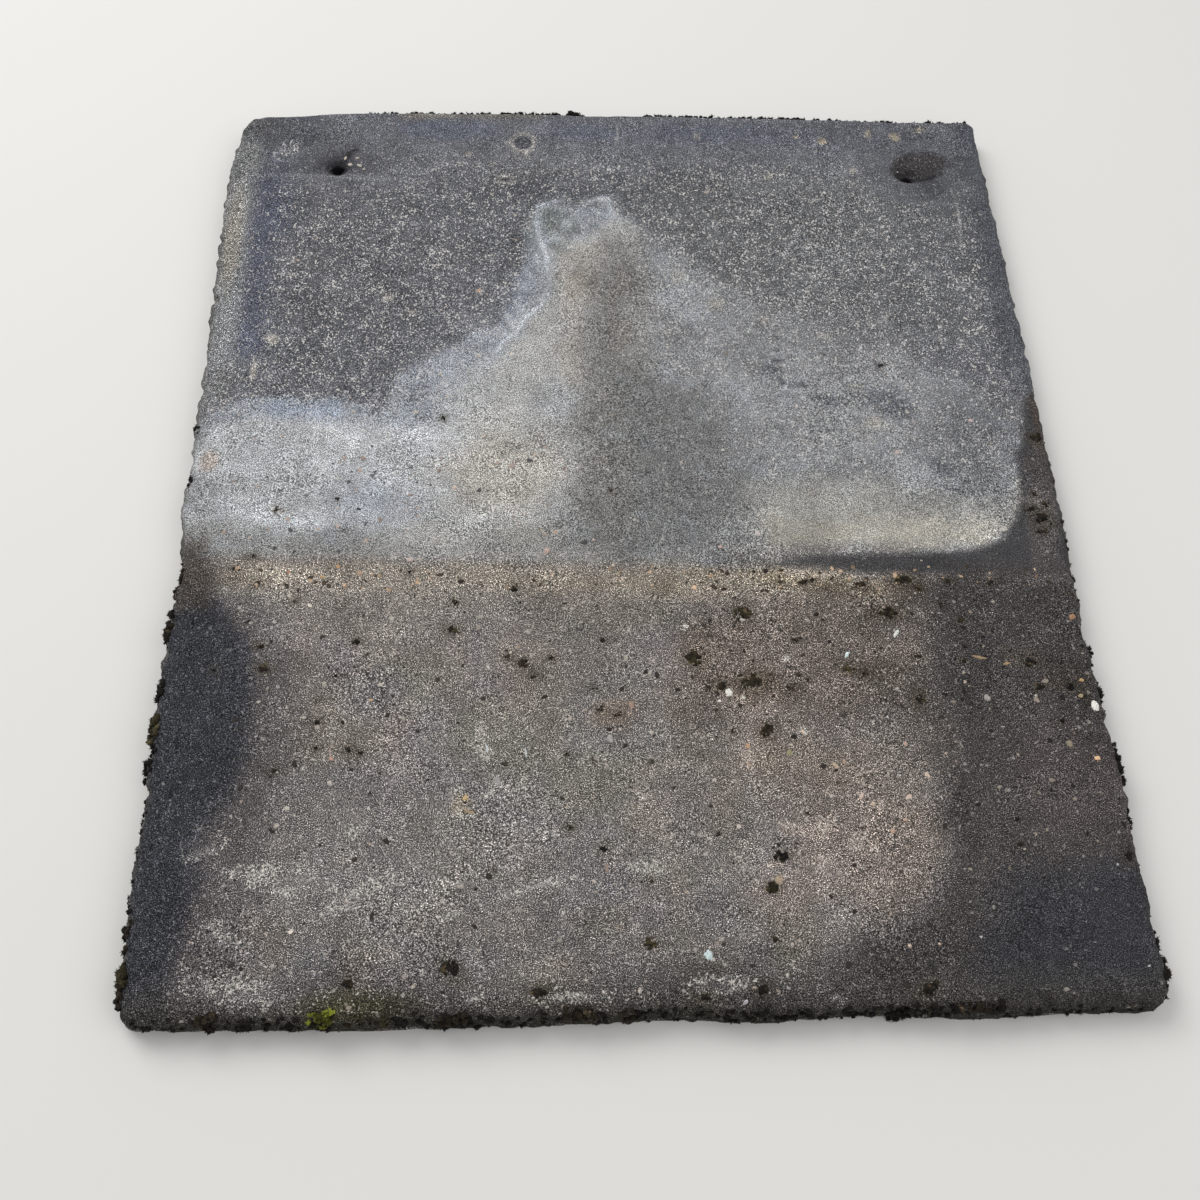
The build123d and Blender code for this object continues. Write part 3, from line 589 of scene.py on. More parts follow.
def paint_lower_field(face):
    """The exposed half: rain-worn, brown-grey and sandy, damp and black along both sides."""
    exposed = [(-208, -40.6), (-150, -40.8), (0, -44.4), (60, -47.5), (150, -50), (208, -51)]
    face.wash(exposed + [(208, -250), (-208, -250)], DUN, 1, 3.5, 1.6, speck=0.75, sand=1, warm=0.7,
            cover=0.08, bloom=0, wisp=0)
    for size, seed, colour in ((30, 31, (111, 105, 110)), (19, 32, (122, 115, 104)),
            (26, 33, (107, 108, 112)), (13, 34, (121, 112, 106))):
        cloud = (blotches(face.x, face.y, size, seed) - 0.6) * size
        face.lay(np.minimum(cloud, -54 - face.y), colour, 0.45, 8, 0)
    face.stroke([(-172, -52), (-60, -53), (60, -56), (112, -58)], 16, SAND, 0.8, 16, 5, speck=0.6,
            sand=1.15, cover=0.5)
    face.stroke([(30, -49), (96, -52)], 7, (140, 128, 112), 0.5, 5, 2, speck=1.3, cover=0.6)
    for x, y, wide, high in ((-176, -52, 10, 6), (-149, -55, 8, 4), (-121, -53, 9, 5),
            (-98, -57, 10, 4), (-70, -52, 9, 5), (-44, -56, 10, 5), (-16, -54, 9, 4), (14, -57, 10, 5)):
        face.dab(x, y, wide, high, (98, 90, 80), 0.5, 3, 3, speck=0.4)
    face.stroke([(52, -52), (120, -54), (204, -56)], 9, soft=5, ragged=3, cover=0.9)
    face.stroke([(-135, -50), (-60, -51)], 12, (146, 138, 120), 0.3, 12)
    face.dab(132, -61, 44, 18, (84, 74, 66), 0.6, 10, 4, cover=0.8)
    for x, y in ((66, -54), (90, -56), (107, -58), (124, -56)):
        face.dab(x, y, 12, 7, (96, 88, 72), 0.5, 4, 3, cover=0.8)
    face.strokes(([(108, -54), (111, -58), (109, -62)], 1.8, (176, 152, 134), 0.7, 1.4, 0.8),
            ([(117, -50), (123, -49), (127, -54), (130, -60)], 1.6, (172, 150, 134), 0.6, 1.4, 0.8),
            ([(115, -53), (122, -51), (126, -58), (128, -62)], 1.6, (44, 38, 32), 0.7, 1.4, 0.8))
    face.dab(-110, -66, 130, 44, (130, 125, 121), 0.6, 24)
    face.dab(-100, -176, 150, 60, (127, 123, 120), 0.6, 30)
    face.wash([(30, -70), (110, -62), (208, -54), (208, -124), (20, -122), (16, -80)], (98, 90, 85),
            0.85, 30, 8, sand=1.2, cover=0.25)
    face.dab(76, -78, 40, 20, (122, 114, 104), 0.4, 14, 4)
    face.dab(84, -166, 84, 60, (126, 117, 111), 0.75, 44, 14, turn=-25, sand=1.15)
    face.dabs((-22, -96, 50, 60, (108, 103, 99), 0.6, 30, 6),
            (-125, -162, 70, 30, (112, 108, 105), 0.5, 22, 6),
            (-2, -216, 60, 30, (108, 104, 100), 0.5, 20, 6))
    dark = [(123, -50), (127, -84), (128, -116), (126, -160), (124, -180), (116, -194), (100, -208),
            (82, -222), (56, -236), (28, -252), (208, -252), (208, -50)]
    face.wash(dark, (66, 63, 63), 1, 22, 10, speck=0.4, warm=0.6)
    face.stroke([(132, -120), (132, -180)], 9, (56, 51, 50), 0.5, 12, 5)
    face.dab(180, -150, 60, 60, (75, 69, 68), 0.7, 24, speck=0.5, cover=0.25)
    face.wash([(150, -192), (208, -186), (208, -252), (116, -252)], (56, 56, 60), 1, 24, 6, speck=0.25,
            sand=0.8)
    for x, y, wide, high in ((34, -88, 30, 22), (44, -106, 34, 16), (60, -108, 20, 14),
            (114, -70, 22, 14), (100, -96, 24, 10), (170, -94, 26, 12), (188, -104, 26, 14),
            (96, -58, 30, 10), (124, -56, 22, 12)):
        face.dab(x, y, wide, high, (76, 68, 60), 0.35, ragged=4, cover=0.3)


def paint_field_blotches(face):
    """Olive, brown and violet-grey blotches, pale rubbed spots and dark specks in the exposed half."""
    for x, y, wide, high, colour in ((-60, -130, 44, 30, (116, 115, 105)),
            (-20, -150, 34, 26, (112, 110, 101)), (-90, -100, 40, 26, (122, 118, 108)),
            (-120, -128, 30, 22, (114, 108, 98)), (-40, -178, 44, 24, (116, 111, 110)),
            (-100, -150, 46, 26, (115, 109, 109)), (-8, -118, 18, 14, (120, 104, 92)),
            (60, -196, 30, 20, (120, 110, 104)), (76, -142, 50, 20, (128, 117, 106)),
            (30, -176, 26, 30, (112, 106, 102)), (-66, -210, 60, 22, (120, 114, 112)),
            (-140, -100, 24, 30, (112, 105, 98)), (104, -180, 30, 40, (126, 115, 106)),
            (0, -70, 50, 20, (112, 108, 98))):
        face.dab(x, y, wide, high, colour, 0.5, min(wide, high) / 1.6, 7)
    for x, y, wide, high, turn in ((-60, -148.5, 6, 7, 0), (-49, -150, 4, 5, 0), (-21, -150, 5, 4, 0),
            (-62, -154, 4, 4, 0), (-41, -172, 6, 3, 0), (-65, -136, 5, 7, 10), (-76, -154, 9, 6, 0),
            (-72, -162, 7, 5, 0), (-74, -192, 12, 3, 10), (-67, -126, 4, 10, 10), (4, -187, 12, 3, 0),
            (-118, -170, 4, 3, 0), (-117, -104, 3.6, 3, 0), (-78, -95, 3, 6, 0), (-66, -90, 4, 6, 0),
            (-128, -125, 3, 4, 0), (-85, -156.5, 3, 3, 0), (-71.5, -142.5, 4, 3, 0)):
        face.dab(x, y, wide, high, (130, 127, 123), 0.8, 2.4, 2.4, turn=turn, speck=2.9)
    for x, y, wide, high, turn in ((84.5, -142.5, 4, 4, 0), (81.5, -146.5, 4, 3, 0),
            (94, -134, 4, 3, 0), (91, -157, 4, 3, 30), (96, -161.5, 4, 3, 0), (58, -170, 8, 6, 0),
            (75, -168, 8, 5, 20), (52, -186, 8, 5, 0), (44, -140, 4, 10, 10), (88, -178, 10, 6, 0),
            (70, -184, 8, 5, -20), (72, -172, 14, 4, 0)):
        face.dab(x, y, wide, high, (140, 128, 120), 0.8, 2.4, 2, turn=turn, speck=2.4)
    face.dab(-74, -158, 9, 9, (142, 130, 110), 0.5, 3, 3, speck=2)
    for x, y in ((64.5, -92), (22, -76.5), (69, -127)):
        face.dab(x, y, 2.6, 2.6, (196, 194, 188), 1, 1.4, speck=2)
    face.stroke([(-56, -197), (-42, -193), (-28, -190)], 2.4, (140, 138, 136), 0.9, 2, 1.4, speck=3)
    for x, y in ((-31, -137), (-61, -187), (-136, -112), (-100, -120), (-20, -140), (70, -100),
            (88, -120)):
        face.dab(x, y, 2.4, 2.4, (58, 52, 46), 1, 1.4, speck=0)


def paint_left_damp(face):
    """The blue-black damp strip down the left side, and brown growth at its top."""
    shade = [(-208, -57), (-168, -64), (-150, -86), (-142, -110), (-140, -134), (-138, -152),
            (-148, -172), (-158, -190), (-160, -252), (-208, -252)]
    face.wash(shade, (82, 78, 79), 0.75, 30, 8)
    damp = [(-208, -52), (-190, -54), (-178, -66), (-169, -84), (-164, -100), (-163, -118),
            (-162, -134), (-165, -150), (-173, -166), (-179, -176), (-177, -190), (-180, -206),
            (-184, -226), (-180, -252), (-208, -252)]
    face.wash(damp, DAMP_BLACK, 1, 13, 5, speck=0.2, sand=1.05, warm=0.1)
    face.wash([(-208, -22), (-199, -29), (-188, -40), (-182, -54), (-186, -66), (-208, -70)], SOIL, 0.9,
            13, 5, speck=0.2)


def paint_tail(face):
    """Darker growth along the tail, green in one place, and pale scuffs above it."""
    face.stroke([(-205, -243), (205, -243)], 20, (70, 67, 65), 0.8, 20, 4, cover=0.15)
    face.stroke([(-205, -248), (205, -248)], 8, (44, 42, 38), 0.8, 6, 2, speck=0.1)
    face.dab(-112, -240, 44, 12, (74, 71, 48), 0.6, 8)
    face.dab(-156, -234, 34, 10, (124, 124, 124), 0.5, 8, 4, turn=-8, speck=2.4)
    for x, y, wide, high, turn in ((-178, -179, 14, 3, 18), (-150, -186, 9, 4, 0),
            (-149, -192, 10, 2, -15), (-161, -186, 8, 3, 20), (-137, -182, 8, 3, -10),
            (-129, -190, 9, 2.4, -30), (-116, -198, 16, 2.4, 27), (-100, -193, 11, 2.4, 30),
            (-121, -202, 12, 2.4, 20), (-168, -207, 9, 3, 10), (-163, -213, 9, 2.4, -20),
            (-94, -204, 7, 2.4, 10), (-160, -231, 16, 2.4, -4), (-147, -236, 14, 2.4, -14),
            (-150, -231, 10, 2, -10), (-95, -162, 6, 3, 60), (-110, -193, 14, 2, 24),
            (-38, -238, 40, 3, 0), (28, -234, 20, 6, 0), (72, -240, 12, 4, 0), (-84, -208, 18, 3, 25)):
        face.dab(x, y, wide, high, (117, 115, 113), 0.8, 2.4, 2.6, turn=turn, speck=3)


def paint_shades(face):
    """Broad, faint lighter and darker patches, each listed with its place, size and change of
    brightness.
    """
    for x, y, wide, high, change in ((-30, -6, 24, 36, -0.05), (-92, -32, 30, 14, 0.08),
            (-50, -28, 34, 26, 0.06), (-180, 226, 44, 22, -0.17), (-192, 196, 20, 20, -0.1),
            (-34, 166, 18, 18, -0.07), (-6, 150, 12, 14, -0.08), (-110, 170, 20, 14, -0.09),
            (112, 210, 18, 12, -0.1), (30, 192, 20, 16, -0.08), (170, 230, 18, 12, -0.08),
            (-160, 2, 44, 24, -0.06), (30, 88, 18, 16, -0.09), (70, -30, 18, 12, -0.09),
            (110, 10, 22, 14, -0.08), (-50, 150, 14, 14, -0.08), (-190, -68, 18, 14, -0.1),
            (80, -50, 30, 8, 0.1), (-152, 112, 16, 14, -0.07), (-70, 50, 14, 12, -0.07),
            (50, -112, 16, 14, 0.08), (-150, -170, 16, 14, 0.08), (-150, -112, 16, 12, 0.08),
            (130, -132, 14, 16, 0.09), (130, -192, 14, 14, 0.08), (130, 52, 16, 14, 0.06),
            (-40, 130, 24, 40, -0.05), (-140, 52, 60, 14, -0.06), (-90, 170, 16, 12, -0.06),
            (-78, 170, 20, 14, -0.05), (-50, -88, 16, 14, 0.07), (-150, -50, 14, 8, 0.07),
            (-110, -50, 14, 8, 0.06), (-70, -9, 14, 12, -0.07), (28, -90, 14, 12, 0.07),
            (-170, -190, 14, 12, 0.07), (-70, -170, 14, 12, -0.06), (-30, -190, 14, 12, 0.07),
            (70, -170, 14, 12, -0.06), (50, -170, 12, 12, 0.06), (70, 92, 16, 12, -0.06),
            (80, 170, 120, 100, -0.045), (-60, 60, 20, 20, -0.03), (28, -90, 12, 12, 0.05),
            (112, 232, 60, 14, -0.08), (-170, 172, 22, 20, -0.13), (-150, -30, 90, 14, -0.04),
            (-90, -28, 30, 16, 0.03), (54, 74, 22, 16, -0.09), (108, 72, 22, 16, -0.11),
            (88, 100, 34, 24, -0.08), (-150, 70, 28, 16, -0.09), (-30, 68, 14, 18, 0.06),
            (-190, 8, 14, 16, 0.05), (-130, 14, 130, 40, -0.02), (-190, -12, 14, 14, -0.1),
            (-70, 10, 18, 20, 0.06), (140, 8, 30, 18, 0.08), (104, -10, 30, 14, 0.1),
            (112, -30, 50, 12, 0.07), (28, -8, 20, 24, -0.08), (42, -50, 20, 8, -0.1),
            (-130, -70, 28, 16, -0.1), (112, -108, 22, 22, -0.12), (188, -110, 18, 22, -0.1),
            (52, -222, 24, 22, -0.13), (-110, -234, 50, 16, -0.12), (24, -232, 40, 14, -0.1),
            (-34, -230, 24, 14, 0.1), (110, -210, 24, 16, 0.14), (190, -10, 18, 14, 0.1),
            (-150, -50, 34, 8, 0.1), (-30, -212, 24, 18, -0.1), (-80, 70, 20, 14, 0.07),
            (190, 130, 18, 26, -0.09), (72, -150, 16, 16, 0.08), (-120, 31, 50, 16, 0.08),
            (-128, -50, 30, 12, -0.06), (-30, 188, 60, 22, -0.12), (-8, -230, 50, 20, -0.1),
            (30, -230, 24, 16, -0.12), (96, -72, 44, 18, -0.12), (128, -92, 22, 22, 0.08),
            (40, -92, 44, 20, 0.1), (50, -116, 22, 36, 0.14), (30, -130, 18, 20, -0.08),
            (90, -146, 60, 40, -0.07), (170, -160, 40, 80, 0.1), (172, -34, 30, 22, 0.14),
            (150, 190, 22, 16, 0.16), (-10, 210, 44, 16, 0.08), (128, 208, 40, 16, 0.08),
            (-112, 194, 30, 16, 0.05), (94, 34, 30, 16, -0.1), (140, -10, 30, 12, -0.08),
            (168, 36, 26, 34, -0.08), (-36, 50, 34, 18, -0.09), (-192, 236, 20, 18, -0.12),
            (50, -28, 16, 12, 0.1), (-28, -10, 18, 12, -0.09), (-8, 92, 16, 18, -0.09),
            (110, 50, 20, 12, -0.09), (-52, -50, 24, 8, 0.1), (136, -180, 18, 40, 0.08),
            (40, -190, 34, 18, 0.07), (150, -100, 18, 30, -0.08), (-150, -50, 18, 8, 0.12),
            (50, 210, 50, 16, 0.06), (-20, 132, 24, 20, -0.07), (-70, 92, 16, 14, 0.14),
            (70, -190, 24, 24, 0.06), (-130, 110, 60, 60, -0.04), (196, -10, 18, 30, 0.1)):
        depth = 1 - np.hypot((face.x - x) / wide, (face.y - y) / high)
        face.layers["colour"] *= 1 + (change * ease(0, 0.8, depth))[:, None]


def paint_moss_stains(face):
    """A dirty ring round each cushion of moss."""
    for x, y, length, width, turn, _ in MOSS_SPOTS:
        face.dab(x, y, length * 2.2, width * 2.2, (66, 60, 50), 0.4, 4, 2, turn=turn, speck=0.3,
                cover=0.6)

def paint_face(x, y):
    """The whole face, from the ground colour to the last stain."""
    face = Canvas(x, y, colour=SLATE, speck=1.2, sand=0.9, warm=0.15, cover=0, bloom=0, wisp=0)
    for paint in (paint_upper_field, paint_left_haze, paint_middle_column, paint_right_haze,
            paint_left_arris, paint_black_band, paint_lower_field, paint_field_blotches,
            paint_left_damp, paint_tail, paint_shades, paint_moss_stains):
        paint(face)
    mottle = 0.09 * (blotches(x, y, 24, 5) - 0.5) + 0.11 * (blotches(x, y, 10, 6) - 0.5)
    bright = 0.04 * ease(0.05, 0.3, face.layers["bloom"][:, 0])
    face.layers["colour"] *= 1 + (mottle + bright)[:, None]
    return face.layers


def paint_border(layers, x, y, z):
    """Sides, arris and underside: damp and dark towards the tail, plain cement grey below."""
    side = 1 - ease(7, 15, z)[:, None]
    near_tail = ease(-205, -240, y)[:, None]
    near_head = ease(180, 236, y)[:, None]
    shade = blotches(x + z, y - z, 9, 21)[:, None]
    body = np.array(SIDE_GREY) * (0.75 + 0.4 * shade)
    body += near_tail * (np.array(TAIL_GREY) - body)
    body += near_head * (np.array(HEAD_SIDE) - body)
    layers["colour"] += side * 0.85 * (body - layers["colour"])
    layers["speck"] += side * (0.3 - layers["speck"])
    layers["sand"] += side * (1 - layers["sand"])
    under = (z < 0.5)[:, None]
    cover = layers["cover"] + side * ease(-30, -60, y)[:, None] * 0.4
    layers["cover"] = np.where(under, 0, cover)
    cement = np.array(CEMENT) + 16 * (shade - 0.5)
    layers["colour"] = np.where(under, cement, layers["colour"])
    layers["warm"] = np.where(under, 0.6, layers["warm"])
    return layers


def relief(x, y):
    """Depth of each point of the face below the top of the slab."""
    depth = 0.3 * blotches(x, y, 55, 11) + 0.2 * blotches(x, y, 13, 12)
    depth += 0.16 * blotches(x, y, 5, 13)
    depth += 0.5 * ease(0.84, 0.98, blotches(x, y, 6, 14))
    uneven = 1 + 0.25 * (blotches(x, y, 4, 15) - 0.5)
    for hollow_x, hollow_y, length, width, turn, deep, power in HOLLOWS:
        along, across = turned(x - hollow_x, y - hollow_y, turn)
        from_middle = (along / (length / 2)) ** 2 + (across / (width / 2)) ** 2
        depth += deep * np.clip(1 - from_middle * uneven, 0, 1) ** power
    return depth


def weather(points):
    """Turn the even slab into the worn one: rough, notched sides and a pitted face."""
    x, y, z = points.T
    west, east = ease(WORN_REACH, 0, x - LOW[0]), ease(WORN_REACH, 0, HIGH[0] - x)
    south, north = ease(WORN_REACH, 0, y - LOW[1]), ease(WORN_REACH, 0, HIGH[1] - y)
    inward = np.stack([west - east, south - north])
    inward /= np.maximum(np.hypot(*inward), 1e-6)
    along = x + y
    notches = 1.5 * ease(0.6, 0.95, blotches(along, 0.8 * z, 8, 31))
    ragged = 1.5 * blotches(along, z, 4.2, 32) + 1.0 * blotches(along, z, 2.1, 33) - 1.25
    rough = (notches + ragged) * ease(TOP, TOP - 3.5, z) * ease(0, 1.0, z)
    rough += (0.9 * blotches(along, 40 + 0 * z, 5, 34) - 0.2) * ease(1.2, 0, z) * (z < 1.2)
    x = np.clip(x + inward[0] * rough, LOW[0], HIGH[0])
    y = np.clip(y + inward[1] * rough, LOW[1], HIGH[1])
    z = z * (1 - relief(x, y) / TOP)
    return np.stack([x, y, z], axis=1)


def border_loop(height):
    """The frame model's outline at that height, in order anticlockwise."""
    points = np.array([vertex.co for vertex in SLAB.data.vertices]) / MM
    level = points[np.abs(points[:, 2] - height) < SAME_PLACE, :2]
    level = level[(np.abs(level) > HIGH[:2] * BORDER_SHARES).any(axis=1)]
    level = np.unique(level.round(3), axis=0)
    return level[np.argsort(np.arctan2(level[:, 1], level[:, 0]))]


def even_loop(loop):
    """The same outline with evenly spaced points, the same number on a side at any height."""
    corners = [int(np.argmax(loop @ corner)) for corner in ((-1, -1), (1, -1), (1, 1), (-1, 1))]
    sides = []
    for k, start in enumerate(corners):
        end = corners[(k + 1) % 4]
        side = loop[start:end + 1] if end > start else np.r_[loop[start:], loop[:end + 1]]
        run = np.r_[0, np.cumsum(np.hypot(*np.diff(side, axis=0).T))]
        count = round((HIGH - LOW)[k % 2] / BORDER_STEP)
        places = np.linspace(0, run[-1], count, endpoint=False)
        sides.append(np.stack([np.interp(places, run, side[:, axis]) for axis in (0, 1)], axis=1))
    return np.concatenate(sides).round(2)


def at_height(points, z):
    """Points of a plan, all at that height."""
    return np.c_[points, np.full(len(points), z)]


def border_rings():
    """Rings of points up the upright side and over the rounded arris to the rim of the face."""
    base, rim = even_loop(border_loop(0)), even_loop(border_loop(TOP))
    rings = []
    for z in np.linspace(0, SIDE_HEIGHT, SIDE_ROWS, endpoint=False):
        rings.append(at_height(base, z))
    for turn in np.radians(np.linspace(0, 90, ARRIS_ROWS)):
        share = 1 - math.cos(turn)
        z = SIDE_HEIGHT + (TOP - SIDE_HEIGHT) * math.sin(turn)
        rings.append(at_height(base * (1 - share) + rim * share, z))
    return rings


def hole_loop(centre_x, centre_y, radius):
    """The slightly uneven mouth of a nail hole."""
    turn = np.linspace(0, 2 * math.pi, HOLE_POINTS, endpoint=False)
    x, y = centre_x + radius * np.cos(turn), centre_y + radius * np.sin(turn)
    reach = radius * (1 + 0.16 * (blotches(x, y, 2.2, 41) - 0.4))
    mouth = np.stack([centre_x + reach * np.cos(turn), centre_y + reach * np.sin(turn)], axis=1)
    return mouth.round(2)


def scattered(step, seed):
    """Evenly spread points, each a little off its place, over the slab's box."""
    xs = np.arange(LOW[0], HIGH[0], step)
    ys = np.arange(LOW[1], HIGH[1], step * ROW_SHARE)
    x, y = np.meshgrid(xs, ys)
    x[1::2] += step / 2
    shift = np.random.default_rng(seed).uniform(-OFF_PLACE, OFF_PLACE, (2, *x.shape)) * step
    return (x + shift[0]).ravel(), (y + shift[1]).ravel()


def worked(x, y):
    """Whether a point lies near a hollow, nail hole or tide line, where the mesh is finer."""
    near = np.zeros(x.shape, bool)
    for hollow_x, hollow_y, length, *_ in HOLLOWS:
        near |= np.hypot(x - hollow_x, y - hollow_y) < length / 2 + HOLLOW_REACH
    for line in TIDE_LINES + TIDE_BANDS + SCRATCHES:
        near |= distance_to_path(x, y, line) < LINE_REACH
    return near


def filled(outline, holes, x, y, margin):
    """Triangles between an outline and the nail holes, through the points x, y inside."""
    keep = depth_inside(x, y, outline[::3].tolist()) > margin
    for centre_x, centre_y, radius in NAIL_HOLES.values():
        keep &= np.hypot(x - centre_x, y - centre_y) > radius + HOLE_MARGIN
    loops = [outline, *holes]
    points = np.concatenate([*loops, np.stack([x[keep], y[keep]], axis=1)])
    edges, first = [], 0
    for loop in loops:
        edges += [(first + k, first + (k + 1) % len(loop)) for k in range(len(loop))]
        first += len(loop)
    corners, _, faces, *_ = delaunay_2d_cdt([Vector(p) for p in points], edges, [], 1, 1e-7)
    corners, faces = np.array(corners), np.array(faces)
    middle = corners[faces].mean(axis=1)
    for centre_x, centre_y, radius in NAIL_HOLES.values():
        outside = np.hypot(middle[:, 0] - centre_x, middle[:, 1] - centre_y) > radius * 0.9
        faces, middle = faces[outside], middle[outside]
    a, b, c = (corners[faces[:, k]] for k in range(3))
    flipped = (b - a)[:, 0] * (c - a)[:, 1] < (b - a)[:, 1] * (c - a)[:, 0]
    faces[flipped] = faces[flipped][:, ::-1]
    return corners, faces


def band(rings, inside=False):
    """Points and faces of the skin between rings, one above the other, seen from one side."""
    count = len(rings[0])
    near = np.arange(count)
    far = (near + 1) % count
    if inside:
        near, far = far, near
    quads = [
        np.stack([low + near, low + far, low + count + far, low + count + near], axis=1)
        for low in range(0, (len(rings) - 1) * count, count)
    ]
    return np.concatenate(rings), np.concatenate(quads)


def tile_patches():
    """Every patch of the slab's skin, as (points, faces), still even and unworn."""
    rings = border_rings()
    yield band(rings)

    holes = [hole_loop(*hole) for hole in NAIL_HOLES.values()]
    coarse_x, coarse_y = scattered(FIELD_STEP, 51)
    fine_x, fine_y = scattered(FINE_STEP, 52)
    coarse, fine = ~worked(coarse_x, coarse_y), worked(fine_x, fine_y)
    x, y = np.r_[coarse_x[coarse], fine_x[fine]], np.r_[coarse_y[coarse], fine_y[fine]]
    corners, faces = filled(rings[-1][:, :2], holes, x, y, RIM_MARGIN)
    yield at_height(corners, TOP), faces

    corners, faces = filled(rings[0][:, :2], holes, *scattered(UNDERSIDE_STEP, 53), UNDERSIDE_MARGIN)
    yield at_height(corners, 0), faces[:, ::-1]

    for hole in holes:
        rows = [at_height(hole, z) for z in np.linspace(0, TOP, HOLE_ROWS)]
        yield band(rows, inside=True)


def placed(name, data):
    """A new object in the scene, with that mesh, lamp or camera."""
    holder = bpy.data.objects.new(name, data)
    bpy.context.scene.collection.objects.link(holder)
    return holder


def mesh_piece(name, points, faces):
    """A new piece from points in millimetres, with smooth faces."""
    mesh = bpy.data.meshes.new(name)
    mesh.from_pydata((np.asarray(points) * MM).tolist(), [], faces)
    mesh.shade_smooth()
    return placed(name, mesh)


def add_layer(mesh, name, values):
    """Store one painted layer on the mesh's points: a colour or a single value."""
    kind, field = "FLOAT", "value"
    if values.shape[1] == 3:
        kind, field = "FLOAT_COLOR", "color"
        values = np.c_[values, np.ones(len(values))]
    attribute = mesh.attributes.new(name, kind, "POINT")
    attribute.data.foreach_set(field, values.astype(np.float32).ravel())


def linear(colour):
    """Screen colours, 0 to 255, as linear light."""
    share = np.clip(np.asarray(colour, float) / 255, 0, 1)
    return np.where(share <= 0.04045, share / 12.92, ((share + 0.055) / 1.055) ** 2.4)


def cast_tile():
    """The weathered slab: its skin sewn together, painted and worn."""
    points, faces, first = [], [], 0
    for corners, patch in tile_patches():
        points.append(corners)
        faces += (patch + first).tolist()
        first += len(corners)
    points = np.concatenate(points)
    keys, index = np.unique((points / SAME_PLACE).round().astype(int), axis=0, return_inverse=True)
    index = index.ravel()
    first_use = np.zeros(len(keys), int)
    first_use[index[::-1]] = np.arange(len(points))[::-1]
    points = points[first_use]
    faces = [[int(index[k]) for k in face] for face in faces]
    x, y, z = points.T
    layers = paint_border(paint_face(x, y), x, y, z)
    tile = mesh_piece("cast_tile", weather(points), faces)
    add_layer(tile.data, "paint", linear(layers["colour"]))
    for name in ("speck", "sand", "warm", "cover", "bloom", "wisp"):
        add_layer(tile.data, name, layers[name])
    return tile


# Moss and loose stone

def round_ball(splits):
    """Points and triangles of a ball of radius 1."""
    mesh = bmesh.new()
    bmesh.ops.create_icosphere(mesh, subdivisions=splits, radius=1)
    points = np.array([vertex.co for vertex in mesh.verts])
    faces = np.array([[vertex.index for vertex in face.verts] for face in mesh.faces])
    mesh.free()
    return points, faces


def lumps(name, places, normals, sizes, turns, colours, roughness, seed, splits=2):
    """A piece of many uneven lumps, each squashed and turned on the skin of the tile."""
    ball, triangles = round_ball(splits)
    rng = np.random.default_rng(seed)
    count = len(places)
    waves = rng.normal(0, 1, (count, 3, 3)) * 2.6
    phases = rng.uniform(0, ANY_TURN, (count, 3, 1))
    swell = 1 + roughness * np.sin(waves @ ball.T + phases).mean(axis=1)
    shape = ball[None] * swell[:, :, None] * np.asarray(sizes)[:, None] / 2
    turns = np.radians(turns)
    up = np.asarray(normals)
    side = np.stack([np.cos(turns), np.sin(turns), 0 * turns], axis=1)
    side -= up * (side * up).sum(axis=1)[:, None]
    side /= np.linalg.norm(side, axis=1)[:, None]
    across = np.cross(up, side)
    axes = np.stack([side, across, up], axis=1)
    points = np.asarray(places)[:, None] + shape @ axes
    points[:, :, 2] = np.maximum(points[:, :, 2], LOWEST)
    faces = triangles[None] + (np.arange(count) * len(ball))[:, None, None]
    piece = mesh_piece(name, points.reshape(-1, 3), faces.reshape(-1, 3).tolist())
    add_layer(piece.data, "paint", np.repeat(linear(colours), len(ball), axis=0))
    return piece


def on_skin(skin, x, y, z):
    """The nearest point of the tile's skin, and its normal, in millimetres."""
    place, normal, *_ = skin.find_nearest(Vector((x, y, z)) * MM)
    return np.array(place) / MM, np.array(normal)


def varied(rng, colour, spread):
    """A colour a little lighter or darker."""
    return np.array(colour) * np.exp(rng.normal(0, spread))


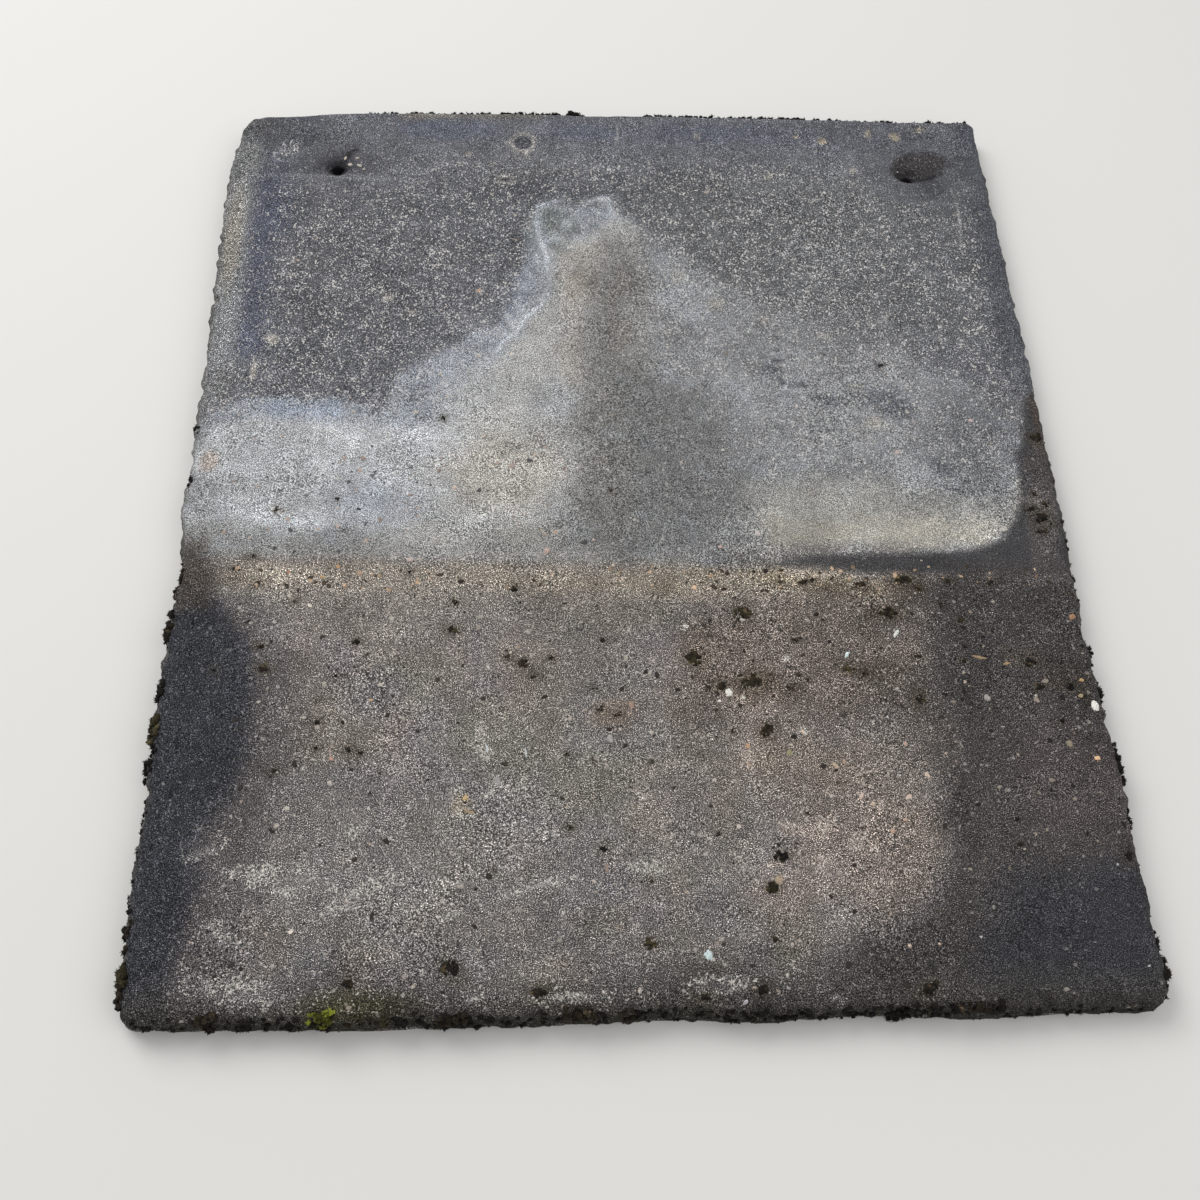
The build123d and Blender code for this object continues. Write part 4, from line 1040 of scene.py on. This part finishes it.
def moss_cushions(skin):
    """Every cushion of moss, built of small lumps packed together."""
    rng = np.random.default_rng(61)
    rows = []
    for x, y, length, width, turn, colour in MOSS_SPOTS:
        c, s = math.cos(math.radians(turn)), math.sin(math.radians(turn))
        for _ in range(5 + round(length * width * 0.9)):
            reach, way = 0.66 * rng.random() ** 0.6, rng.uniform(0, ANY_TURN)
            along, across = length * reach * math.cos(way), width * reach * math.sin(way)
            spot_x, spot_y = x + along * c - across * s, y + along * s + across * c
            if reach > 0.25 + 0.5 * blotches(spot_x, spot_y, 2.4, 64):
                continue
            place, normal = on_skin(skin, spot_x, spot_y, TOP)
            size = rng.uniform(0.6, 1.3) * min(1.9, 0.5 + 0.36 * width) * (1.15 - 0.7 * reach)
            tints = (colour, colour, colour, BROWN, WITHERED)
            tint = tints[rng.integers(5 if reach > 0.35 else 4)]
            rows.append((place, normal, (size, size, size * 0.6), varied(rng, tint, 0.25)))
    for start, end, low, high, share, size, colour in MOSS_RUNS:
        count = round(math.dist(start, end) * share)
        for t in rng.random(count):
            x, y = (a + (b - a) * t for a, b in zip(start, end))
            spot = x + rng.normal(0, 0.8), y + rng.normal(0, 0.8), rng.uniform(low, high)
            place, normal = on_skin(skin, *spot)
            wide = size * rng.uniform(0.4, 1.0)
            lift = wide * 0.1 + rng.uniform(0, 0.12) * share * size
            rows.append((place + normal * lift, normal, (wide, wide, wide * rng.uniform(0.6, 1)),
                         varied(rng, colour, 0.25)))
    places, normals, sizes, colours = (np.array(column) for column in zip(*rows))
    turns = rng.uniform(0, 360, len(rows))
    sizes *= 1.12
    cushions = lumps("moss_cushions", places, normals, sizes, turns, colours, 0.5, 62, splits=1)
    add_layer(cushions.data, "cover", np.ones((len(cushions.data.vertices), 1)))
    return cushions


def bedded_stones(skin):
    """The single stones and flakes that stand out, half sunk in the face."""
    rows = []
    for x, y, length, width, height, turn, colour in STONES:
        place, normal = on_skin(skin, x, y, TOP)
        rows.append((place - normal * height * 0.1, normal, (length, width, height), turn, colour))
    rng = np.random.default_rng(66)
    for low, high, count, colour in PEBBLE_BEDS:
        for x, y in rng.uniform(low, high, (count, 2)):
            place, normal = on_skin(skin, x, y, TOP)
            size = 1.1 + 1.9 * rng.random() ** 2.5
            sizes, turn = (size, size * 0.7, 0.5), rng.uniform(0, 360)
            rows.append((place, normal, sizes, turn, varied(rng, colour, 0.12)))
    places, normals, sizes, turns, colours = (np.array(column) for column in zip(*rows))
    stones = lumps("bedded_stones", places, normals, sizes, turns, colours, 0.45, 63)
    add_layer(stones.data, "tone", np.full((len(stones.data.vertices), 1), 0.5))
    return stones


# Loose grit and moss leaves

def scatter_tree():
    """Copies of a shape strewn on a surface, more where its cover layer is higher."""
    tree = bpy.data.node_groups.new("strewn_shapes", "GeometryNodeTree")
    kinds = {"Ground": "Geometry", "Shape": "Object", "Per Square Metre": "Float", "Smallest": "Float",
             "Largest": "Float", "Tilt": "Float", "Seed": "Int", "Keep Ground": "Bool",
             "Material": "Material"}
    for label, kind in kinds.items():
        tree.interface.new_socket(label, in_out="INPUT", socket_type="NodeSocket" + kind)
    tree.interface.new_socket("Result", in_out="OUTPUT", socket_type="NodeSocketGeometry")
    given = tree.nodes.new("NodeGroupInput").outputs
    cover = made(tree, "GeometryNodeInputNamedAttribute", {"Name": "cover"}, data_type="FLOAT")
    spread = add_node(
        tree, "GeometryNodeDistributePointsOnFaces",
        {"Mesh": given["Ground"], "Seed": given["Seed"],
         "Density": times(tree, cover, given["Per Square Metre"])},
        distribute_method="RANDOM",
    ).outputs
    chance = add_node(tree, "FunctionNodeRandomValue", {"Seed": 3}, data_type="FLOAT").outputs[1]
    size = made(
        tree, "ShaderNodeMapRange",
        {"Value": calc(tree, "POWER", chance, 2.2), "To Min": given["Smallest"],
         "To Max": given["Largest"]},
    )
    lean = made(tree, "ShaderNodeCombineXYZ", {0: given["Tilt"], 1: given["Tilt"], 2: math.pi})
    back = made(tree, "ShaderNodeVectorMath", {0: lean, "Scale": -1.0}, operation="SCALE")
    twist = made(
        tree, "FunctionNodeRandomValue", {0: back, 1: lean, "Seed": 4}, data_type="FLOAT_VECTOR"
    )
    turn = made(
        tree, "FunctionNodeRotateRotation", {"Rotation": spread["Rotation"], "Rotate By": twist},
        rotation_space="LOCAL",
    )
    shape = add_node(tree, "GeometryNodeObjectInfo", {"Object": given["Shape"]}).outputs["Geometry"]
    strewn = made(
        tree, "GeometryNodeInstanceOnPoints",
        {"Points": spread["Points"], "Instance": shape, "Rotation": turn, "Scale": size},
    )
    tone = add_node(tree, "FunctionNodeRandomValue", {"Seed": 5}, data_type="FLOAT").outputs[1]
    strewn = made(
        tree, "GeometryNodeStoreNamedAttribute", {"Geometry": strewn, "Name": "tone", "Value": tone},
        data_type="FLOAT", domain="INSTANCE",
    )
    strewn = made(tree, "GeometryNodeRealizeInstances", {"Geometry": strewn})
    kept = made(
        tree, "GeometryNodeSwitch", {"Switch": given["Keep Ground"], "True": given["Ground"]},
        input_type="GEOMETRY",
    )
    joined = tree.nodes.new("GeometryNodeJoinGeometry")
    for part in (strewn, kept):
        tree.links.new(part, joined.inputs[0])
    result = made(
        tree, "GeometryNodeSetMaterial", {"Geometry": joined.outputs[0], "Material": given["Material"]}
    )
    tree.links.new(result, tree.nodes.new("NodeGroupOutput").inputs[0])
    return tree


def strew(name, ground, tree, sizes):
    """A plain mesh piece made by running the scatter tree on a ground piece."""
    modifier = ground.modifiers.new("strewn", "NODES")
    modifier.node_group = tree
    identifiers = {item.name: item.identifier for item in tree.interface.items_tree}
    for label, value in sizes.items():
        modifier[identifiers[label]] = value
    graph = bpy.context.evaluated_depsgraph_get()
    mesh = bpy.data.meshes.new_from_object(ground.evaluated_get(graph))
    ground.modifiers.remove(modifier)
    for vertex in mesh.vertices:
        high = TOP * MM
        vertex.co.z = min(max(vertex.co.z, LOWEST * MM), high + 0.3 * max(vertex.co.z - high, 0))
    return placed(name, mesh)


def crumb():
    """An angular crumb of stone, 1 mm across."""
    points, faces = round_ball(1)
    uneven = 0.5 * np.random.default_rng(71).uniform(0.65, 1.0, (len(points), 1))
    piece = mesh_piece("crumb", points * uneven * (1, 0.8, 0.65), faces.tolist())
    piece.data.shade_flat()
    return piece


def moss_tuft():
    """Three pointed leaves on one foot, 1 mm high."""
    points, faces = [], []
    sides = (0, 1, 2), (0, 3, 1), (1, 3, 2), (0, 2, 3)
    for turn in (0.3, 2.5, 4.4):
        tip = np.array((0.62 * math.cos(turn), 0.62 * math.sin(turn), 0.8))
        side = np.array((-math.sin(turn), math.cos(turn), 0)) * 0.17
        first = len(points)
        points += [-side, side, (0, 0, 0.22), tip]
        faces += [[first + corner for corner in corners] for corners in sides]
    return mesh_piece("moss_tuft", points, faces)


# Shader helpers

def add_node(tree, kind, inputs=None, **settings):
    """A node with its settings, and with each named input linked or set."""
    node = tree.nodes.new(kind)
    for name, value in settings.items():
        setattr(node, name, value)
    for name, value in (inputs or {}).items():
        if isinstance(value, bpy.types.NodeSocket):
            tree.links.new(value, node.inputs[name])
        else:
            node.inputs[name].default_value = value
    return node


def made(tree, kind, inputs=None, **settings):
    """The first result of a new node."""
    return add_node(tree, kind, inputs, **settings).outputs[0]


def calc(tree, operation, *values):
    """The result of a sum on one or more values."""
    return made(tree, "ShaderNodeMath", dict(enumerate(values)), operation=operation)


def times(tree, first, second):
    """One value multiplied by another."""
    return calc(tree, "MULTIPLY", first, second)


def blend_colours(tree, share, first, second, mode="MIX"):
    """One colour laid over another by share."""
    inputs = {0: share, 6: first, 7: second}
    return add_node(tree, "ShaderNodeMix", inputs, data_type="RGBA", blend_type=mode).outputs[2]


def toned(tree, colour, tone):
    """A colour made darker or lighter by tone."""
    grey = made(tree, "ShaderNodeCombineColor", {0: tone, 1: tone, 2: tone})
    return blend_colours(tree, 1.0, colour, grey, "MULTIPLY")


def ramp(tree, value, low, high, start=0.0, end=1.0):
    """A soft step of value from start at low to end at high."""
    inputs = {"Value": value, "From Min": low, "From Max": high, "To Min": start, "To Max": end}
    return made(tree, "ShaderNodeMapRange", inputs, interpolation_type="SMOOTHSTEP")


def noise(tree, place, size, detail=2.0, roughness=0.5):
    """Noise whose blotches are about size across, in millimetres."""
    inputs = {"Vector": place, "Scale": 1 / (size * MM), "Detail": detail, "Roughness": roughness}
    return add_node(tree, "ShaderNodeTexNoise", inputs).outputs["Fac"]


def distance_from(tree, value, centre):
    """How far value lies from centre, on either side."""
    return calc(tree, "ABSOLUTE", calc(tree, "SUBTRACT", value, centre))


def new_group(name, inputs, outputs):
    """An empty group with named sockets, and its first and last node."""
    tree = bpy.data.node_groups.new(name, "ShaderNodeTree")
    for label, kind in inputs.items():
        tree.interface.new_socket(label, in_out="INPUT", socket_type=kind)
    for label, kind in outputs.items():
        tree.interface.new_socket(label, in_out="OUTPUT", socket_type=kind)
    return tree, tree.nodes.new("NodeGroupInput"), tree.nodes.new("NodeGroupOutput")


def use_group(tree, group, inputs=None):
    """A group of nodes used in a material."""
    return add_node(tree, "ShaderNodeGroup", inputs, node_tree=group)


def mineral_grain_group():
    """Sand grain at three sizes, each around 0, where flecks and pores lie, and their height."""
    value = "NodeSocketFloat"
    results = ("Grain", "Mottle", "Crowding", "Sparks", "Curls", "Pores", "Height")
    tree, start, end = new_group(
        "mineral_grain", {"Place": "NodeSocketVector", "Fineness": value},
        {name: value for name in results}
    )
    place, fineness = start.outputs["Place"], start.outputs["Fineness"]
    fine = noise(tree, place, 0.43, 0.0)
    middle = noise(tree, place, 1.25, 1.0)
    coarse = noise(tree, place, 4.0, 1.0)
    mottle = noise(tree, place, 16.0, 3.0, 0.6)
    cluster = noise(tree, place, 5.0, 2.0)
    speckle = noise(tree, place, 0.95, 1.0, 0.6)
    ridges = ramp(tree, distance_from(tree, noise(tree, place, 1.9, 1.0), 0.5), 0.04, 0.0)
    furrows = ramp(tree, distance_from(tree, noise(tree, place, 1.6, 1.0), 0.5), 0.05, 0.0)
    curls = times(tree, ridges, ramp(tree, cluster, 0.4, 0.5))
    ridges = times(tree, ridges, ramp(tree, cluster, 0.4, 0.7, 0.1, 1.0))
    worms = times(tree, ridges, 0.3)
    worms = calc(tree, "SUBTRACT", worms, times(tree, furrows, 0.2))
    grain = -DARKENING
    for part, contrasts in zip((fine, middle, coarse), GRAIN_CONTRASTS):
        contrast = ramp(tree, fineness, 0.0, 1.0, *contrasts)
        part = calc(tree, "SUBTRACT", part, 0.5)
        grain = calc(tree, "MULTIPLY_ADD", part, contrast, grain)
    grain = calc(tree, "MULTIPLY_ADD", worms, fineness, grain)
    mottle = times(tree, calc(tree, "SUBTRACT", mottle, 0.5), MOTTLE_CONTRAST)
    together = ramp(tree, fineness, 0.0, 1.0, 0.35, 0.3)
    crowded = calc(tree, "MULTIPLY_ADD", calc(tree, "SUBTRACT", cluster, 0.5), together, speckle)
    upright = made(tree, "ShaderNodeVectorMath", {0: place, 1: (1.0, 0.55, 1.0)}, operation="MULTIPLY")
    sparks = ramp(tree, noise(tree, upright, 0.95, 1.0, 0.6), 0.66, 0.72)
    sparks = times(tree, sparks, ramp(tree, fineness, 0.5, 0.2))
    pores = ramp(tree, speckle, 0.36, 0.24)
    height = calc(tree, "MULTIPLY_ADD", fine, 0.4, calc(tree, "ADD", middle, speckle))
    for name, result in zip(results, (grain, mottle, crowded, sparks, curls, pores, height)):
        tree.links.new(result, end.inputs[name])
    return tree


def aggregate_group():
    """Small stones showing in the cement: where they are, and a random tone for each."""
    value = "NodeSocketFloat"
    tree, start, end = new_group(
        "exposed_aggregate",
        {"Place": "NodeSocketVector", "Stones per Metre": value, "Share": value, "Size": value},
        {"Mask": value, "Tone": value},
    )
    wobble = add_node(tree, "ShaderNodeTexNoise", {"Vector": start.outputs["Place"], "Scale": 900.0})
    centred = made(
        tree, "ShaderNodeVectorMath", {0: wobble.outputs["Color"], 1: (0.5, 0.5, 0.5)},
        operation="SUBTRACT",
    )
    place = made(
        tree, "ShaderNodeVectorMath",
        {0: centred, 1: (0.0012, 0.0012, 0.0012), 2: start.outputs["Place"]},
        operation="MULTIPLY_ADD",
    )
    cells = add_node(
        tree, "ShaderNodeTexVoronoi",
        {"Vector": place, "Scale": start.outputs["Stones per Metre"]},
    )
    tone = add_node(tree, "ShaderNodeSeparateColor", {0: cells.outputs["Color"]})
    chosen = calc(tree, "LESS_THAN", tone.outputs[0], start.outputs["Share"])
    size = times(tree, calc(tree, "ADD", tone.outputs[1], 0.45), start.outputs["Size"])
    inner = times(tree, size, 0.45)
    mask = ramp(tree, cells.outputs["Distance"], size, inner)
    tree.links.new(times(tree, mask, chosen), end.inputs["Mask"])
    tree.links.new(tone.outputs[2], end.inputs["Tone"])
    return tree


def lime_veil_group():
    """Lime bloom in torn veils: its tone around 0, its blue patches, and strings of white."""
    value = "NodeSocketFloat"
    tree, start, end = new_group(
        "lime_veil", {"Place": "NodeSocketVector", "Bloom": value, "Wisp": value},
        {"Tone": value, "Blue": value, "Strings": value},
    )
    place, bloom = start.outputs["Place"], start.outputs["Bloom"]
    veil = noise(tree, place, 7.0, 4.0, 0.68)
    torn = times(tree, bloom, calc(tree, "SUBTRACT", 1.0, bloom))
    depth = times(tree, bloom, VEIL_CONTRAST)
    depth = calc(tree, "MULTIPLY_ADD", torn, TORN_CONTRAST, depth)
    tone = times(tree, calc(tree, "SUBTRACT", veil, 0.5), depth)
    blue = ramp(tree, noise(tree, place, 16.0, 4.0, 0.62), 0.5, 0.66, 0.0, 0.4)
    blue = times(tree, blue, bloom)
    ridge = distance_from(tree, noise(tree, place, 9.0, 3.0, 0.55), 0.5)
    strings = times(tree, ramp(tree, ridge, 0.05, 0.0, 0.0, 0.7), start.outputs["Wisp"])
    for name, result in (("Tone", tone), ("Blue", blue), ("Strings", strings)):
        tree.links.new(result, end.inputs[name])
    return tree


def new_material(name):
    """A new material, its tree and its shader."""
    material = bpy.data.materials.new(name)
    material.use_nodes = True
    tree = material.node_tree
    return material, tree, tree.nodes["Principled BSDF"]


def set_finish(shader, roughness, gloss):
    """Set how rough and how glossy a plain material is."""
    shader.inputs["Roughness"].default_value = roughness
    shader.inputs["Specular IOR Level"].default_value = gloss


def layer(tree, name, output="Fac"):
    """A painted layer of the mesh."""
    return add_node(tree, "ShaderNodeAttribute", attribute_name=name).outputs[output]


def object_place(tree):
    """Object coordinates, which are the shared frame's."""
    return add_node(tree, "ShaderNodeTexCoord").outputs["Object"]


def flat_colour(colour):
    """A screen colour as a shader socket takes it."""
    return (*linear(colour), 1.0)


# Grain contrasts and stone colours of the cast stone
GRAIN_CONTRASTS = ((6.6, 6.7), (1.5, 0.9), (0.8, 0.4))
DARKENING = 0.28
MOTTLE_CONTRAST = 0.5
VEIL_CONTRAST = 0.5
TORN_CONTRAST = 1.8
LIME_BLUE = (140, 150, 163)
COOL_STONE = (212, 210, 207)
WARM_STONE = (218, 208, 198)
PINK_STONE = (190, 174, 160)
ALGAE_TINT = (250, 252, 238)
# The painted shade inside open pores
PORE = (34, 32, 32)


def cast_stone_material(grain, aggregate, lime):
    """Weathered cement with exposed sand and stone, coloured by the painted layers."""
    material, tree, shader = new_material("weathered_cast_stone")
    place = object_place(tree)
    speck, sand, warm = (layer(tree, name) for name in ("speck", "sand", "warm"))
    grains = use_group(tree, grain, {"Place": place, "Fineness": warm}).outputs
    bloom = layer(tree, "bloom")
    veils = {"Place": place, "Bloom": bloom, "Wisp": layer(tree, "wisp")}
    veils = use_group(tree, lime, veils).outputs

    # Sand grain darkens and lightens the painted colour, and lime lies on it in veils
    tone = calc(tree, "MULTIPLY_ADD", grains["Grain"], sand, grains["Mottle"])
    tone = calc(tree, "ADD", tone, veils["Tone"])
    tone = calc(tree, "MINIMUM", tone, ramp(tree, bloom, 0.0, 0.3, 3.0, 0.8))
    tone = calc(tree, "EXPONENT", tone)
    colour = blend_colours(tree, veils["Blue"], layer(tree, "paint", "Color"), flat_colour(LIME_BLUE))
    colour = toned(tree, colour, tone)
    colour = blend_colours(tree, veils["Strings"], colour, flat_colour(LIME_WHITE))
    algae = times(tree, ramp(tree, noise(tree, place, 11.0, 3.0), 0.46, 0.6), warm)
    algae = times(tree, algae, 0.2)
    colour = blend_colours(tree, algae, colour, flat_colour(ALGAE_TINT), "MULTIPLY")

    # Pale flecks and larger stones, cool in the covered half and tan in the exposed half
    pale = blend_colours(tree, warm, flat_colour(COOL_STONE), flat_colour(WARM_STONE))
    crowding = calc(tree, "ADD", ramp(tree, speck, 0.0, 1.4, 0.0, 0.08), grains["Crowding"])
    strength = calc(tree, "MAXIMUM", ramp(tree, crowding, 0.7, 0.77), grains["Sparks"])
    strength = times(tree, strength, ramp(tree, speck, 0.0, 1.2, 0.15, 0.95))
    colour = blend_colours(tree, strength, colour, pale)
    strength = times(tree, grains["Curls"], ramp(tree, speck, 1.2, 2.6, 0.0, 0.95))
    colour = blend_colours(tree, strength, colour, pale)
    spots = ramp(tree, noise(tree, place, 3.6, 2.0, 0.6), 0.69, 0.73, 0.0, 0.6)
    spots = times(tree, spots, ramp(tree, speck, 0.1, 0.8))
    colour = blend_colours(tree, spots, colour, flat_colour(PINK_STONE))
    stones = use_group(
        tree, aggregate,
        {"Place": place, "Stones per Metre": 420.0, "Share": times(tree, speck, 0.2),
         "Size": 0.33},
    ).outputs
    strength = ramp(tree, stones["Tone"], 0.0, 1.0, 0.15, 0.7)
    strength = times(tree, stones["Mask"], strength)
    strength = times(tree, strength, ramp(tree, speck, 0.0, 0.6, 0.2, 1.0))
    colour = blend_colours(tree, strength, colour, pale)

    # Small open pores, their dark insides painted as shade
    strength = times(tree, times(tree, grains["Pores"], sand), 0.45)
    colour = blend_colours(tree, strength, colour, flat_colour(PORE))
    tree.links.new(colour, shader.inputs["Base Color"])

    rough = ramp(tree, grains["Height"], 0.8, 1.6, 0.82, 0.98)
    tree.links.new(rough, shader.inputs["Roughness"])
    shader.inputs["Specular IOR Level"].default_value = 0.15
    height = calc(tree, "MULTIPLY_ADD", stones["Mask"], 0.35, grains["Height"])
    bump = made(tree, "ShaderNodeBump", {"Height": height, "Strength": 0.6, "Distance": 0.0005})
    tree.links.new(bump, shader.inputs["Normal"])
    return material


def loose_stone_material(grain):
    """Crumbs, pebbles and flakes: their painted colour, each a little lighter or darker."""
    material, tree, shader = new_material("loose_stone")
    grains = use_group(tree, grain, {"Place": object_place(tree)}).outputs
    tone = ramp(tree, layer(tree, "tone"), 0.0, 1.0, 0.55, 1.5)
    tone = calc(tree, "MULTIPLY_ADD", grains["Grain"], 0.2, tone)
    colour = toned(tree, layer(tree, "paint", "Color"), tone)
    tree.links.new(colour, shader.inputs["Base Color"])
    set_finish(shader, 0.8, 0.25)
    return material


def moss_material():
    """Moss: a cushion painted dark as shade among the leaves, lighter leaves, and green and brown
    patches.
    """
    material, tree, shader = new_material("moss")
    place = object_place(tree)
    # Cushion lumps carry no tone and come out dark as painted shade deep among the leaves; each leaf's
    # tone varies at random
    tone = calc(tree, "MULTIPLY_ADD", layer(tree, "tone"), 1.9, 0.15)
    tone = calc(tree, "MULTIPLY_ADD", noise(tree, place, 1.2), 0.9, tone)
    withered = ramp(tree, noise(tree, place, 1.7, 1.0), 0.5, 0.66, 0.0, 0.3)
    colour = blend_colours(tree, withered, layer(tree, "paint", "Color"), flat_colour(WITHERED))
    tree.links.new(toned(tree, colour, tone), shader.inputs["Base Color"])
    set_finish(shader, 0.9, 0.2)
    return material


def floor_material():
    """Plain pale paper."""
    material, _, shader = new_material("pale_floor")
    shader.inputs["Base Color"].default_value = flat_colour(PAPER)
    set_finish(shader, 0.95, 0.1)
    return material


def pale_floor():
    """The floor that the tile lies on."""
    corners = [(x * FLOOR_HALF, y * FLOOR_HALF, 0) for x, y in ((-1, -1), (1, -1), (1, 1), (-1, 1))]
    floor = mesh_piece("floor", corners, [(0, 1, 2, 3)])
    floor.data.materials.append(floor_material())


# The camera: its place, and its right, up and back directions
CAMERA_PLACE = (-0.050409, -0.388113, 0.581331)
CAMERA_RIGHT = (0.998510, -0.029939, 0.045631)
CAMERA_UP = (0.003136, 0.866199, 0.499690)
CAMERA_BACK = (-0.054486, -0.498802, 0.865001)
LENS = 44.345
SENSOR_WIDTH = 36.0


def camera():
    """The camera at the photograph's place and angle."""
    data = bpy.data.cameras.new("camera")
    data.sensor_width = SENSOR_WIDTH
    data.lens = LENS
    holder = placed("camera", data)
    axes = Matrix((CAMERA_RIGHT, CAMERA_UP, CAMERA_BACK)).transposed()
    holder.matrix_world = Matrix.Translation(CAMERA_PLACE) @ axes.to_4x4()
    bpy.context.scene.camera = holder


def soft_lamp(name, place, size, watts):
    """A large square lamp that points at the middle of the tile."""
    data = bpy.data.lights.new(name, "AREA")
    data.size = size
    data.energy = watts
    holder = placed(name, data)
    holder.location = place
    holder.rotation_euler = (-Vector(place)).to_track_quat("-Z", "Y").to_euler()


def studio_light():
    """An even grey world and two soft lamps, at the level where colours render as written."""
    world = bpy.data.worlds.new("studio")
    world.use_nodes = True
    background = world.node_tree.nodes["Background"]
    background.inputs["Color"].default_value = (1.0, 1.0, 1.0, 1.0)
    background.inputs["Strength"].default_value = 0.5
    bpy.context.scene.world = world
    soft_lamp("key", (-0.9, 0.9, 1.5), 1.2, 22.0)
    soft_lamp("fill", (1.1, -0.6, 1.4), 1.4, 7.0)


grain = mineral_grain_group()
tile = cast_tile()
tile.data.materials.append(cast_stone_material(grain, aggregate_group(), lime_veil_group()))
skin = BVHTree.FromPolygons(
    [vertex.co for vertex in tile.data.vertices], [face.vertices for face in tile.data.polygons]
)

stone, moss, strewn = loose_stone_material(grain), moss_material(), scatter_tree()
cushions, chip, tuft = moss_cushions(skin), crumb(), moss_tuft()
grit = strew("loose_grit", tile, strewn, {
    "Shape": chip, "Per Square Metre": 3.0e5, "Smallest": 0.45, "Largest": 1.9, "Tilt": 1.0,
    "Seed": 7, "Keep Ground": False, "Material": stone,
})
growth = strew("moss_growth", cushions, strewn, {
    "Shape": tuft, "Per Square Metre": 7.5e5, "Smallest": 0.55, "Largest": 1.45, "Tilt": 0.9,
    "Seed": 8, "Keep Ground": True, "Material": moss,
})
for spare in (cushions, chip, tuft):
    bpy.data.objects.remove(spare)
stones = bedded_stones(skin)
stones.data.materials.append(stone)

for piece in (tile, grit, growth, stones):
    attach(piece, "root")
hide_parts(NODE)

pale_floor()
camera()
studio_light()
bpy.context.scene.view_settings.view_transform = "Standard"
